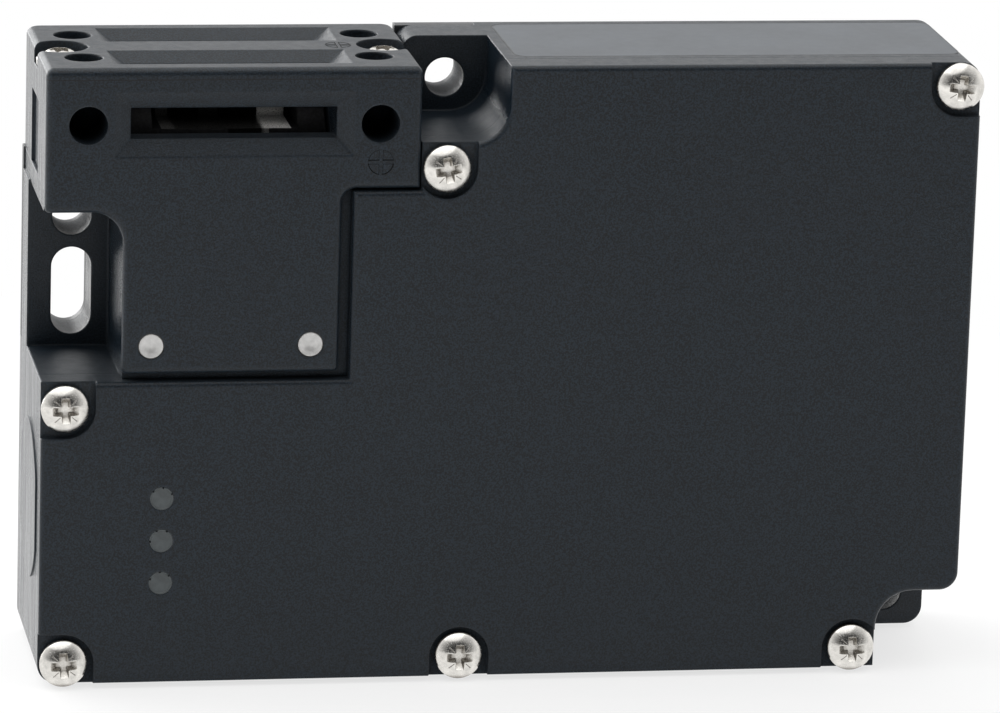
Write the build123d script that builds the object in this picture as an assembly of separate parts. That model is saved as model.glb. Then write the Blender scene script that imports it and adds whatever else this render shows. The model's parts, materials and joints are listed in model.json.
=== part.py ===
from build123d import *
import math
import os

# Tongue interlock switch with guard locking. Lengths are millimetres and angles are degrees.
# Everything is drawn with x from the left side, y from the front face backwards and z from the
# underside up. Each finished piece is moved so that the origin is the middle of the rear face.

os.makedirs("parts", exist_ok=True)

# Clearances
RUNNING_FIT = 0.05
AIR_GAP = 0.3
PART_GAP = 0.2
THROUGH = 1.0

# Housing
BODY_WIDTH = 130.0
BODY_DEPTH = 30.0
BODY_HEIGHT = 87.0
WALL = 3.0
REAR_WALL = 3.5
CORNER_RADIUS = 2.6
COVER_DEPTH = 5.0
COVER_SKIN = 2.4
COVER_EDGE_RADIUS = 0.7
GASKET_WIDTH = 1.2
GASKET_DEPTH = 1.0
GASKET_INSET = 0.5

# Head and its apron
HEAD_LEFT = 0.2
HEAD_WIDTH = 51.5
HEAD_HEIGHT = 17.0
HEAD_EDGE_RADIUS = 1.0
HEAD_REAR_RADIUS = 2.0
HEAD_WALL = 4.5
CHAMBER_FLOOR = 4.0
DRUM_ROOM = 0.6
APRON_THICKNESS = 2.0
STEM_WIDTH = 30.0
STEM_LENGTH = 25.8
BAR_DROP = 3.1
STEM_LEFT_CORNER = 4.3
STEM_RIGHT_CORNER = 1.9
STEM_GAP_SIDE = 1.5
STEM_GAP_BELOW = 1.1
SIDE_POCKET_WIDTH = 8.7
SIDE_POCKET_HEIGHT = 10.4
SIDE_POCKET_DEPTH = 0.4

# Tongue entries
ENTRY_WIDTH = 28.2
ENTRY_HEIGHT = 4.3
ENTRY_OFFSET = 7.45
ENTRY_LEAD_IN = 1.4
ENTRY_LEAD_SPREAD = 2.3
GUIDE_HOLE_RADIUS = 2.65
GUIDE_HOLE_SPACING = 40.0
FRONT_GUIDE_DEPTH = 10.0
TOP_GUIDE_DEPTH = 4.6

# Mounting ears
EAR_THICKNESS = 9.0
EAR_HOLE_RADIUS = 2.75
EAR_HOLE_INSET = 5.9
EAR_SLOT_WIDTH = 5.6
EAR_SLOT_LENGTH = 12.5
EAR_SLOT_RISE = 7.9
EAR_HOLE_RISE = 18.6
EAR_POCKET_WIDTH = 12.0
EAR_POCKET_HEIGHT = 10.7
EAR_POCKET_RADIUS = 5.2
EAR_CORNER_RADIUS = 2.2
FOOT_POCKET_WIDTH = 11.6
FOOT_POCKET_HEIGHT = 11.1
FOOT_HOLE_RISE = 4.9

# Rear plate
PLATE_THICKNESS = 2.0
PLATE_LAP = 0.7
PLATE_SCREW_OFFSET = 7.5
PLATE_SCREW_INSET = 6.0
PLATE_SCREW_RISE = 5.0

# Cover screws
SCREW_RADIUS = 2.0
SCREW_LENGTH = 19.0
SCREW_HEAD_RADIUS = 3.3
SCREW_HEAD_HEIGHT = 2.4
SCREW_DOME_SHARE = 0.6
SCREW_EDGE_X = 3.5
SCREW_EDGE_Z = 3.0
SCREW_TOP_INSET = 3.3
SCREW_SIDE_RISE = 3.7
SCREW_MIDDLE_X = 58.9
SCREW_FOOT_INSET = 3.5
RECESS_DEPTH = 1.1
RECESS_RADIUS = 4.2
BOSS_RADIUS = 4.2

# Head screws and pins
HEAD_SCREW_RADIUS = 1.75
HEAD_SCREW_HEAD_RADIUS = 3.25
HEAD_SCREW_HEAD_HEIGHT = 2.4
HEAD_SCREW_INSET = 3.3
HEAD_SCREW_BORE_RADIUS = 3.85
HEAD_SCREW_SINK = 2.6
HEAD_SCREW_GRIP = 2.4
PIN_RADIUS = 1.8
PIN_LENGTH = 7.5
PIN_INSET = 4.0
PIN_RISE = 4.0

# Drum
DRUM_RISE = 1.7
CHEEK_RADIUS = 9.2
DRUM_RADIUS = 8.8
LEFT_CHEEK = 3.1
RIGHT_CHEEK = 3.8
AXLE_RADIUS = 2.0
AXLE_SEAT = 4.0
DRUM_TURN = 50.0
NOTCH_FLOOR = 5.2
NOTCH_REACH = 1.0
REAR_NOTCH_DROP = 1.0
CAM_RADIUS = 6.5
CAM_START = 10.5
INSERT_THICKNESS = 1.2
INSERT_MARGIN = 1.3
INSERT_SETBACK = 0.6
REAR_INSERT_TOP = 2.8
INSERT_TAB_RISE = 3.2
INSERT_TABS = ((0.0, 1.7), (6.0, 8.7), (14.1, 17.9))
INSERT_WIDTH = 17.9

# Plunger and contacts
PLUNGER_STROKE = 3.0
PLUNGER_RADIUS = 2.5
PLUNGER_SOCKET = 4.0
CARRIER_WIDTH = 8.4
CARRIER_DEPTH = 8.6
CARRIER_HEIGHT = 15.5
CARRIER_RISE = 11.0
BRIDGE_LENGTH = 19.0
BRIDGE_WIDTH = 4.4
BRIDGE_THICKNESS = 0.8
BRIDGE_PITCH = 6.5
CONTACT_RADIUS = 1.1
CONTACT_HEIGHT = 0.6
CONTACT_STRIP_LENGTH = 8.0
CONTACT_STRIP_WIDTH = 3.6
BLOCK_BOTTOM = 12.0
BLOCK_WIDTH = 26.0
BLOCK_HEIGHT = 27.0
BLOCK_FRONT = 8.5
BLOCK_FLOOR = 3.0
BLOCK_SIDE_WALL = 2.7
FLANGE_WIDTH = 6.0
FLANGE_HEIGHT = 7.0
FLANGE_RISE = 4.5
BRIDGE_ROOM = 0.6
SPRING_WIRE = 0.8
PLUNGER_SPRING_RADIUS = 3.0
PLUNGER_SPRING_TURNS = 5
SEAL_WIDTH = 1.6
SEAL_HEIGHT = 1.4

# Lock magnet
LOCK_STROKE = 2.5
LOCK_RADIUS = 6.6
LOCK_ROD_RADIUS = 1.6
LOCK_ROD_SOCKET = 4.0
RAMP_RELIEF = 0.25
RAMP_FLOOR = 0.4
RAMP_SIDE_GAP = 0.3
MAGNET_INSET = 18.0
MAGNET_HEIGHT = 20.0
YOKE_THICKNESS = 1.6
ARMATURE_RADIUS = 4.9
ARMATURE_NOSE = 2.0
POLE_LENGTH = 10.4
POLE_STUD_RADIUS = 2.5
BOBBIN_TUBE_RADIUS = 6.0
BOBBIN_FLANGE_RADIUS = 9.3
BOBBIN_FLANGE = 1.2
WINDING_RADIUS = 8.9
LOCK_SPRING_RADIUS = 2.0
LOCK_SPRING_LENGTH = 16.0
LOCK_SPRING_TURNS = 9
LOCK_SPRING_BORE = 2.6

# Indicators
WINDOW_X = 16.8
WINDOW_Z = 20.5
WINDOW_PITCH = 6.05
WINDOW_RADIUS = 1.65
LENS_COLLAR_RADIUS = 2.4
LENS_COLLAR = 0.8
LENS_TAIL_RADIUS = 1.5
LED_RADIUS = 1.5
LED_HEIGHT = 1.6
LED_EDGE_RADIUS = 0.9
LED_GAP = 0.3
INDICATOR_BOARD_THICKNESS = 1.1
INDICATOR_BOARD_WIDTH = 8.6
INDICATOR_BOARD_MARGIN = 4.0

# Terminals
BOARD_LEFT = 48.0
BOARD_BOTTOM = 8.0
BOARD_THICKNESS = 1.6
BOARD_SIDE_GAP = 1.4
BOARD_TOP_GAP = 1.1
BOARD_SCREW_INSET = 4.0
TERMINAL_COUNT = 10
TERMINAL_MARGIN = 3.0
TERMINAL_HEIGHT = 18.0
TERMINAL_DEPTH = 12.9
CLAMP_WIDTH = 4.2
CLAMP_DEPTH = 7.0
CLAMP_HEIGHT = 6.0
CLAMP_RISE = 6.5
CLAMP_WIRE_HOLE = 3.2
CLAMP_LIP = 0.8
CLAMP_SCREW_RADIUS = 1.25
CLAMP_SCREW_HEAD_RADIUS = 1.9
CLAMP_SCREW_HEAD_HEIGHT = 1.6
CLAMP_SCREW_LENGTH = 3.0

# Small screws inside and behind
SMALL_SCREW_RADIUS = 1.5
SMALL_SCREW_LENGTH = 4.2
SMALL_SCREW_HEAD_RADIUS = 2.6
SMALL_SCREW_HEAD_HEIGHT = 1.6
PLATE_SCREW_LENGTH = 8.0
PLATE_SCREW_SINK = 1.4
POST_RADIUS = 3.0
POST_HEIGHT = 5.5

# Cable entries and label
ENTRY_SEAT_RADIUS = 11.2
ENTRY_SEAT_HEIGHT = 0.2
KNOCKOUT_RADIUS = 8.6
KNOCKOUT_SKIN = 1.5
SIDE_ENTRY_Z = 23.0
FOOT_ENTRIES = (32.0, 88.0)
LABEL_THICKNESS = 0.3
LABEL_RADIUS = 2.0
LABEL_MARGIN = 1.6

# Lengths and places that follow from the sizes above
MID_Y = BODY_DEPTH / 2
FLOOR_Y = BODY_DEPTH - REAR_WALL
EAR_Y = BODY_DEPTH - EAR_THICKNESS
PLATE_Y = BODY_DEPTH - PLATE_THICKNESS
HEAD_RIGHT = HEAD_LEFT + HEAD_WIDTH
HEAD_MID = HEAD_LEFT + HEAD_WIDTH / 2
HEAD_Z = BODY_HEIGHT - HEAD_HEIGHT
STEM_LEFT = HEAD_MID - STEM_WIDTH / 2
STEM_RIGHT = HEAD_MID + STEM_WIDTH / 2
STEM_Z = HEAD_Z - STEM_LENGTH
COVER_STEP_X = HEAD_RIGHT + PART_GAP
COVER_STEP_Z = HEAD_Z - AIR_GAP
COVER_STEM_X = STEM_RIGHT + STEM_GAP_SIDE
COVER_STEM_Z = STEM_Z - STEM_GAP_BELOW
POCKET_X = COVER_STEP_X + EAR_POCKET_WIDTH
POCKET_Z = BODY_HEIGHT - EAR_POCKET_HEIGHT
FOOT_POCKET_X = BODY_WIDTH - FOOT_POCKET_WIDTH
PLATE_RIGHT = POCKET_X - PLATE_LAP
PLATE_BOTTOM = COVER_STEM_Z - PLATE_LAP
DRUM_Y = MID_Y
DRUM_Z = HEAD_Z + DRUM_RISE
FRONT_ENTRY_Z = DRUM_Z + ENTRY_OFFSET
TOP_ENTRY_YS = (DRUM_Y - ENTRY_OFFSET, DRUM_Y + ENTRY_OFFSET)
GUIDE_XS = (HEAD_MID - GUIDE_HOLE_SPACING / 2, HEAD_MID + GUIDE_HOLE_SPACING / 2)
HEAD_SCREW_XS = (HEAD_LEFT + HEAD_SCREW_INSET, HEAD_RIGHT - HEAD_SCREW_INSET)
HEAD_SCREW_SEAT_Z = BODY_HEIGHT - HEAD_SCREW_SINK
PIN_XS = (STEM_LEFT + PIN_INSET, STEM_RIGHT - PIN_INSET)
PIN_Z = STEM_Z + PIN_RISE

CHAMBER_X0 = HEAD_MID - ENTRY_WIDTH / 2
CHAMBER_X1 = HEAD_MID + ENTRY_WIDTH / 2
DRUM_X0 = CHAMBER_X0 + DRUM_ROOM
DRUM_X1 = CHAMBER_X1 - DRUM_ROOM
NOTCH_X0 = DRUM_X0 + LEFT_CHEEK
NOTCH_X1 = DRUM_X1 - RIGHT_CHEEK
INSERT_X0 = NOTCH_X0 + INSERT_MARGIN
CAM_WIDTH = 2 * (PLUNGER_RADIUS + AIR_GAP)
CAM_X0 = NOTCH_X0 + CAM_START
PLUNGER_X = CAM_X0 + CAM_WIDTH / 2
HALF_TURN = math.radians(DRUM_TURN / 2)
CAM_OFFSET = PLUNGER_STROKE / (2 * math.sin(HALF_TURN))
CAM_SIDE = CAM_OFFSET * math.cos(HALF_TURN)
CAM_REACH = CAM_RADIUS + CAM_OFFSET
CHAMBER_Y1 = DRUM_Y + CAM_REACH + DRUM_ROOM
CHAMBER_Z0 = DRUM_Z - CHEEK_RADIUS - DRUM_ROOM
CHAMBER_Z1 = BODY_HEIGHT - HEAD_WALL
CHAMBER_UNDERSIDE = CHAMBER_Z0 - CHAMBER_FLOOR
PLUNGER_SEAL_Z = CHAMBER_Z0 - CHAMBER_FLOOR / 2
PLUNGER_SEAL_SPAN = (PLUNGER_SEAL_Z - SEAL_HEIGHT / 2, PLUNGER_SEAL_Z + SEAL_HEIGHT / 2)
TIP_DROP = math.sqrt((CAM_RADIUS + PLUNGER_RADIUS + AIR_GAP) ** 2 - CAM_SIDE ** 2)
PLUNGER_TOP = DRUM_Z - TIP_DROP + PLUNGER_STROKE / 2 + PLUNGER_RADIUS

LOCK_Z = DRUM_Z - LOCK_RADIUS
LOCK_TIP_X = DRUM_X1 + AIR_GAP
LOCK_SEAL_X = (CHAMBER_X1 + COVER_STEM_X + WALL) / 2
LOCK_SEAL_SPAN = (LOCK_SEAL_X - SEAL_HEIGHT / 2, LOCK_SEAL_X + SEAL_HEIGHT / 2)
MAGNET_LEFT = PLATE_RIGHT + AIR_GAP + SMALL_SCREW_RADIUS + FLANGE_WIDTH / 2
MAGNET_RIGHT = BODY_WIDTH - MAGNET_INSET
COIL_X0 = MAGNET_LEFT + YOKE_THICKNESS
COIL_X1 = MAGNET_RIGHT - YOKE_THICKNESS
POLE_X = COIL_X1 - POLE_LENGTH
ARMATURE_X0 = MAGNET_LEFT - ARMATURE_NOSE
ARMATURE_X1 = POLE_X - AIR_GAP
YOKE_Y0 = MID_Y - BOBBIN_FLANGE_RADIUS
TAB_FRONT = FLOOR_Y - YOKE_THICKNESS

BLOCK_TOP = BLOCK_BOTTOM + BLOCK_HEIGHT
CARRIER_Z = BLOCK_BOTTOM + CARRIER_RISE
CARRIER_TOP = CARRIER_Z + CARRIER_HEIGHT
SOCKET_Z = CARRIER_TOP - PLUNGER_SOCKET
UPPER_BRIDGE_Z = SOCKET_Z - PART_GAP - BRIDGE_THICKNESS
BRIDGE_ZS = (UPPER_BRIDGE_Z - BRIDGE_PITCH, UPPER_BRIDGE_Z)
FLANGE_OFFSET = (BLOCK_WIDTH + FLANGE_WIDTH) / 2
FLANGE_XS = (PLUNGER_X - FLANGE_OFFSET, PLUNGER_X + FLANGE_OFFSET)
FLANGE_Z = BLOCK_BOTTOM + FLANGE_RISE
WINDOW_ZS = tuple(WINDOW_Z + step * WINDOW_PITCH for step in (-1, 0, 1))

BOARD_RIGHT = FOOT_POCKET_X - WALL - BOARD_SIDE_GAP
BOARD_TOP = COVER_STEM_Z + PLATE_SCREW_RISE - POST_RADIUS - BOARD_TOP_GAP
TERMINAL_LEFT = BOARD_LEFT + TERMINAL_MARGIN
TERMINAL_RIGHT = BOARD_RIGHT - TERMINAL_MARGIN
TERMINAL_PITCH = (TERMINAL_RIGHT - TERMINAL_LEFT) / TERMINAL_COUNT
TERMINAL_XS = tuple(TERMINAL_LEFT + (i + 0.5) * TERMINAL_PITCH for i in range(TERMINAL_COUNT))
TERMINAL_Z = BOARD_BOTTOM
TERMINAL_BACK = FLOOR_Y - BOARD_THICKNESS
TERMINAL_FRONT = TERMINAL_BACK - TERMINAL_DEPTH
CLAMP_Y0 = TERMINAL_FRONT + CLAMP_SCREW_LENGTH + CLAMP_LIP - AIR_GAP
CLAMP_Z = TERMINAL_Z + CLAMP_RISE
BOARD_SCREW_XS = (BOARD_LEFT + POST_RADIUS, BOARD_RIGHT - POST_RADIUS)
BOARD_SCREW_Z = BOARD_TOP - BOARD_SCREW_INSET

EAR_HOLES = (
    (EAR_HOLE_INSET + PART_GAP, COVER_STEM_Z + EAR_HOLE_RISE),
    (COVER_STEP_X + EAR_HOLE_INSET + PART_GAP, BODY_HEIGHT - EAR_HOLE_INSET),
    (BODY_WIDTH - EAR_HOLE_INSET, FOOT_HOLE_RISE),
)
EAR_SLOT = (EAR_HOLES[0][0], COVER_STEM_Z + EAR_SLOT_RISE)
COVER_SCREWS = (
    (COVER_STEP_X + SCREW_EDGE_X, COVER_STEP_Z + SCREW_EDGE_Z, 0, 1),
    (BODY_WIDTH - SCREW_EDGE_Z, BODY_HEIGHT - SCREW_TOP_INSET, 1, 1),
    (SCREW_TOP_INSET, COVER_STEM_Z - SCREW_SIDE_RISE, -1, 1),
    (SCREW_EDGE_X, SCREW_EDGE_Z, -1, -1),
    (SCREW_MIDDLE_X, SCREW_EDGE_Z, 0, -1),
    (FOOT_POCKET_X - SCREW_FOOT_INSET, SCREW_EDGE_Z, 0, -1),
)
PLATE_SCREWS = (
    (HEAD_MID - PLATE_SCREW_OFFSET, CHAMBER_Z0 - CHAMBER_FLOOR / 2),
    (COVER_STEM_X + WALL + POST_RADIUS, COVER_STEM_Z + PLATE_SCREW_RISE),
    (PLATE_RIGHT - PLATE_SCREW_INSET, CHAMBER_Z0 - POST_RADIUS),
)

TO_FRAME = Pos(-BODY_WIDTH / 2, -BODY_DEPTH, -BODY_HEIGHT / 2)


# Drawing helpers
def block(x0, x1, y0, y1, z0, z1):
    """A box between two corners."""
    return Pos((x0 + x1) / 2, (y0 + y1) / 2, (z0 + z1) / 2) * Box(x1 - x0, y1 - y0, z1 - z0)


def column(x, y, width, depth, z0, z1):
    """A box centred on x and y between two heights."""
    return block(x - width / 2, x + width / 2, y - depth / 2, y + depth / 2, z0, z1)


def bar_x(x0, x1, y, z, radius):
    """A round bar along x."""
    return Pos((x0 + x1) / 2, y, z) * Rot(0, 90, 0) * Cylinder(radius, x1 - x0)


def bar_y(x, y0, y1, z, radius):
    """A round bar along y."""
    return Pos(x, (y0 + y1) / 2, z) * Rot(90, 0, 0) * Cylinder(radius, y1 - y0)


def bar_z(x, y, z0, z1, radius):
    """A round bar along z."""
    return Pos(x, y, (z0 + z1) / 2) * Cylinder(radius, z1 - z0)


def area(x0, x1, z0, z1):
    """A rectangle in x and z."""
    return Pos((x0 + x1) / 2, (z0 + z1) / 2) * Rectangle(x1 - x0, z1 - z0)


def outline(*corners):
    """A flat outline in x and z. A corner is (x, z) or, where it is rounded, (x, z, radius)."""
    sketch = make_face(Polyline(*[corner[:2] for corner in corners], close=True))
    for x, z, radius in [corner for corner in corners if len(corner) == 3]:
        sketch = fillet(sketch.vertices().sort_by_distance((x, z, 0))[0], radius)
    return sketch


def prism(sketch, front, back):
    """The solid of an outline in x and z between two depths."""
    return extrude(Plane.XZ.offset(-back) * sketch, back - front)


def pan_screw(radius, length, head_radius, head_height):
    """A domed screw that points down from its seat at the origin."""
    dome_height = head_height * SCREW_DOME_SHARE
    dome_radius = (head_radius ** 2 + dome_height ** 2) / (2 * dome_height)
    dome = Pos(0, 0, head_height - dome_radius) * Sphere(dome_radius)
    return (bar_z(0, 0, 0, head_height, head_radius) & dome) + bar_z(0, 0, -length, 0, radius)


def coil_spring(radius, wire, length, turns):
    """A coil spring that stands on the origin, with the given length over its wire."""
    pitch = (length - wire) / turns
    path = Pos(0, 0, wire / 2) * Helix(pitch, length - wire, radius)
    section = Plane(origin=path @ 0, z_dir=path % 0) * RegularPolygon(wire / 2, 6)
    return sweep(section, path)


def save(name, *pieces):
    """Write the solids of one node, moved into the shared frame."""
    solids = [TO_FRAME * solid for piece in pieces for solid in piece.solids()]
    export_step(solids[0] if len(solids) == 1 else Compound(solids), f"parts/{name}.step")


# Outlines shared by the housing pieces
def cover_outline():
    return outline(
        (0, 0, CORNER_RADIUS),
        (FOOT_POCKET_X, 0),
        (FOOT_POCKET_X, FOOT_POCKET_HEIGHT, EAR_POCKET_RADIUS),
        (BODY_WIDTH, FOOT_POCKET_HEIGHT, CORNER_RADIUS),
        (BODY_WIDTH, BODY_HEIGHT, CORNER_RADIUS),
        (POCKET_X, BODY_HEIGHT),
        (POCKET_X, POCKET_Z, EAR_POCKET_RADIUS),
        (COVER_STEP_X, POCKET_Z),
        (COVER_STEP_X, COVER_STEP_Z),
        (COVER_STEM_X, COVER_STEP_Z),
        (COVER_STEM_X, COVER_STEM_Z),
        (0, COVER_STEM_Z),
    )


def cavity_outline():
    """The room inside the side walls, less the screw bosses."""
    room = offset(cover_outline(), -WALL, kind=Kind.INTERSECTION)
    for x, z, side, rise in COVER_SCREWS:
        room -= Pos(x, z) * Circle(BOSS_RADIUS)
    return room.faces().sort_by(SortBy.AREA)[-1]


def gasket_outline():
    room = cavity_outline()
    outer = offset(room, GASKET_INSET + GASKET_WIDTH)
    return outer - offset(room, GASKET_INSET)


def recess_outline(x, z, side, rise):
    """The pocket round a cover screw, open towards the edges that the two signs name."""
    reach = 2 * RECESS_RADIUS
    pocket = Pos(x, z) * Circle(RECESS_RADIUS)
    if side:
        pocket += area(*sorted((x, x + side * reach)), z - RECESS_RADIUS, z + RECESS_RADIUS)
    if rise:
        pocket += area(x - RECESS_RADIUS, x + RECESS_RADIUS, *sorted((z, z + rise * reach)))
    if side and rise:
        pocket += area(*sorted((x, x + side * reach)), *sorted((z, z + rise * reach)))
    return pocket


def apron_outline():
    """The front of the head: its block, the bar below it and the stem."""
    return outline(
        (HEAD_LEFT, BODY_HEIGHT),
        (HEAD_RIGHT, BODY_HEIGHT),
        (HEAD_RIGHT, HEAD_Z),
        (STEM_RIGHT, HEAD_Z, STEM_RIGHT_CORNER),
        (STEM_RIGHT, STEM_Z, COVER_EDGE_RADIUS),
        (STEM_LEFT, STEM_Z, COVER_EDGE_RADIUS),
        (STEM_LEFT, HEAD_Z - BAR_DROP, STEM_LEFT_CORNER),
        (HEAD_LEFT, HEAD_Z - BAR_DROP, COVER_EDGE_RADIUS),
    )


def plate_outline():
    return outline(
        (0, PLATE_BOTTOM),
        (PLATE_RIGHT, PLATE_BOTTOM),
        (PLATE_RIGHT, BODY_HEIGHT),
        (COVER_STEP_X, BODY_HEIGHT),
        (COVER_STEP_X, HEAD_Z),
        (0, HEAD_Z),
    )


def entry_cut(depth):
    """A tongue entry with its lead-in, centred on the origin and cut downwards."""
    mouth = Rectangle(ENTRY_WIDTH + 2 * ENTRY_LEAD_SPREAD, ENTRY_HEIGHT + 2 * ENTRY_LEAD_SPREAD)
    throat = Pos(0, 0, -ENTRY_LEAD_IN) * Rectangle(ENTRY_WIDTH, ENTRY_HEIGHT)
    return loft([mouth.face(), throat.face()]) + Pos(0, 0, -depth / 2) * Box(ENTRY_WIDTH, ENTRY_HEIGHT, depth)


# Housing
def base_housing():
    shell = prism(cover_outline(), COVER_DEPTH, BODY_DEPTH)
    shell += block(STEM_LEFT + AIR_GAP, COVER_STEM_X, APRON_THICKNESS, BODY_DEPTH, COVER_STEM_Z, HEAD_Z)
    shell += block(HEAD_LEFT, COVER_STEM_X, APRON_THICKNESS, BODY_DEPTH, HEAD_Z - BAR_DROP, HEAD_Z)
    shell += block(COVER_STEM_X, HEAD_RIGHT, COVER_DEPTH, BODY_DEPTH, HEAD_Z - BAR_DROP, HEAD_Z)
    shell += block(0, STEM_LEFT + THROUGH, EAR_Y, BODY_DEPTH, COVER_STEM_Z, HEAD_Z - BAR_DROP)
    top_ear = outline(
        (COVER_STEP_X, POCKET_Z - EAR_POCKET_RADIUS),
        (POCKET_X + THROUGH, POCKET_Z - EAR_POCKET_RADIUS),
        (POCKET_X + THROUGH, BODY_HEIGHT),
        (COVER_STEP_X, BODY_HEIGHT, EAR_CORNER_RADIUS),
    )
    shell += prism(top_ear, EAR_Y, BODY_DEPTH)
    foot_ear = outline(
        (FOOT_POCKET_X - THROUGH, 0),
        (BODY_WIDTH, 0, CORNER_RADIUS),
        (BODY_WIDTH, FOOT_POCKET_HEIGHT + CORNER_RADIUS),
        (FOOT_POCKET_X - THROUGH, FOOT_POCKET_HEIGHT + CORNER_RADIUS),
    )
    shell += prism(foot_ear, EAR_Y, BODY_DEPTH)
    shell -= prism(plate_outline(), PLATE_Y, BODY_DEPTH + THROUGH)
    shell += entry_seats()

    shell -= prism(cavity_outline(), COVER_DEPTH - THROUGH, FLOOR_Y)
    shell -= prism(gasket_outline(), COVER_DEPTH, COVER_DEPTH + GASKET_DEPTH)
    shell -= block(CHAMBER_X0, CHAMBER_X1, HEAD_WALL, CHAMBER_Y1, CHAMBER_Z0, HEAD_Z + THROUGH)
    stem_cavity = (STEM_LEFT + AIR_GAP + WALL, CHAMBER_X1 - PART_GAP)
    stem_depth = (BLOCK_FRONT - AIR_GAP, FLOOR_Y - THROUGH)
    shell -= block(*stem_cavity, *stem_depth, BLOCK_TOP - THROUGH, CHAMBER_UNDERSIDE)
    plunger_hole = PLUNGER_RADIUS + RUNNING_FIT
    shell -= bar_z(PLUNGER_X, MID_Y, CHAMBER_UNDERSIDE - THROUGH, CHAMBER_Z0 + THROUGH, plunger_hole)
    shell -= bar_z(PLUNGER_X, MID_Y, *PLUNGER_SEAL_SPAN, PLUNGER_RADIUS + SEAL_WIDTH)

    inner_x = COVER_STEM_X + WALL
    rod_hole = LOCK_ROD_RADIUS + RUNNING_FIT
    shell -= bar_x(CHAMBER_X1 - THROUGH, inner_x + THROUGH, MID_Y, LOCK_Z, rod_hole)
    shell -= bar_x(inner_x, POCKET_X, MID_Y, LOCK_Z, LOCK_ROD_RADIUS + AIR_GAP)
    shell -= bar_x(KNOCKOUT_SKIN, WALL + THROUGH, MID_Y, SIDE_ENTRY_Z, KNOCKOUT_RADIUS)
    for x in FOOT_ENTRIES:
        shell -= bar_z(x, MID_Y, KNOCKOUT_SKIN, WALL + THROUGH, KNOCKOUT_RADIUS)
    shell -= bar_x(*LOCK_SEAL_SPAN, MID_Y, LOCK_Z, LOCK_ROD_RADIUS + SEAL_WIDTH)
    shell -= bar_x(CHAMBER_X0 - AXLE_SEAT, CHAMBER_X1 + AXLE_SEAT, DRUM_Y, DRUM_Z, AXLE_RADIUS)

    for x, z in PLATE_SCREWS[1:]:
        shell += bar_y(x, FLOOR_Y - POST_HEIGHT, FLOOR_Y, z, POST_RADIUS)
    for x, z in PLATE_SCREWS:
        shell -= bar_y(x, BODY_DEPTH - PLATE_SCREW_LENGTH, BODY_DEPTH, z, SMALL_SCREW_RADIUS)
    for x, z, side, rise in COVER_SCREWS:
        shell -= bar_y(x, 0, RECESS_DEPTH + SCREW_LENGTH, z, SCREW_RADIUS)
    for x in HEAD_SCREW_XS:
        shell -= bar_z(x, MID_Y, HEAD_Z - HEAD_SCREW_GRIP, HEAD_Z, HEAD_SCREW_RADIUS)
    for x in PIN_XS:
        shell -= bar_y(x, 0, PIN_LENGTH, PIN_Z, PIN_RADIUS)
    for x, z in EAR_HOLES:
        shell -= bar_y(x, EAR_Y - THROUGH, BODY_DEPTH, z, EAR_HOLE_RADIUS)
    shell -= ear_slot()
    for x, z in module_screw_places():
        shell -= bar_y(x, TAB_FRONT, TAB_FRONT + SMALL_SCREW_LENGTH, z, SMALL_SCREW_RADIUS)

    return shell - label_plate()


def entry_seats():
    """Raised flats on the left side and underside, where cable glands would seat."""
    seats = bar_x(-ENTRY_SEAT_HEIGHT, WALL, MID_Y, SIDE_ENTRY_Z, ENTRY_SEAT_RADIUS)
    for x in FOOT_ENTRIES:
        seats += bar_z(x, MID_Y, -ENTRY_SEAT_HEIGHT, WALL, ENTRY_SEAT_RADIUS)
    return seats - block(-WALL, BODY_WIDTH, -WALL, COVER_DEPTH, -WALL, BODY_HEIGHT)


def ear_slot():
    x, z = EAR_SLOT
    slot = Pos(x, z) * Rot(0, 0, 90) * SlotOverall(EAR_SLOT_LENGTH, EAR_SLOT_WIDTH)
    return prism(slot, EAR_Y - THROUGH, BODY_DEPTH)


def front_cover():
    cover = prism(cover_outline(), 0, COVER_DEPTH)
    front = cover.faces().sort_by(Axis.Y)[0]
    cover = fillet(front.outer_wire().edges(), COVER_EDGE_RADIUS)
    cover -= prism(cavity_outline(), COVER_SKIN, COVER_DEPTH)
    for x, z, side, rise in COVER_SCREWS:
        cover -= prism(recess_outline(x, z, side, rise), -THROUGH, RECESS_DEPTH)
        cover -= bar_y(x, 0, COVER_DEPTH, z, SCREW_RADIUS)
    for z in WINDOW_ZS:
        cover -= bar_y(WINDOW_X, 0, COVER_SKIN, z, WINDOW_RADIUS)
    return cover


def cover_gasket():
    return prism(gasket_outline(), COVER_DEPTH, COVER_DEPTH + GASKET_DEPTH)


def cover_screws():
    screw = Rot(90, 0, 0) * pan_screw(SCREW_RADIUS, SCREW_LENGTH, SCREW_HEAD_RADIUS, SCREW_HEAD_HEIGHT)
    return [Pos(x, RECESS_DEPTH, z) * screw for x, z, side, rise in COVER_SCREWS]


def rear_plate():
    plate = prism(plate_outline(), PLATE_Y, BODY_DEPTH)
    for x, z in EAR_HOLES[:2]:
        plate -= bar_y(x, PLATE_Y, BODY_DEPTH, z, EAR_HOLE_RADIUS)
    plate -= ear_slot()
    for screw in plate_screws():
        plate -= screw
    return plate


def plate_screws():
    """Countersunk screws that hold the rear plate, flush with the rear face."""
    screws = []
    for x, z in PLATE_SCREWS:
        shank = bar_y(x, BODY_DEPTH - PLATE_SCREW_LENGTH, BODY_DEPTH, z, SMALL_SCREW_RADIUS)
        spread = PLATE_SCREW_SINK
        head = Cone(SMALL_SCREW_RADIUS, SMALL_SCREW_RADIUS + spread, PLATE_SCREW_SINK)
        screws.append(shank + Pos(x, BODY_DEPTH - PLATE_SCREW_SINK / 2, z) * Rot(-90, 0, 0) * head)
    return screws


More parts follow.
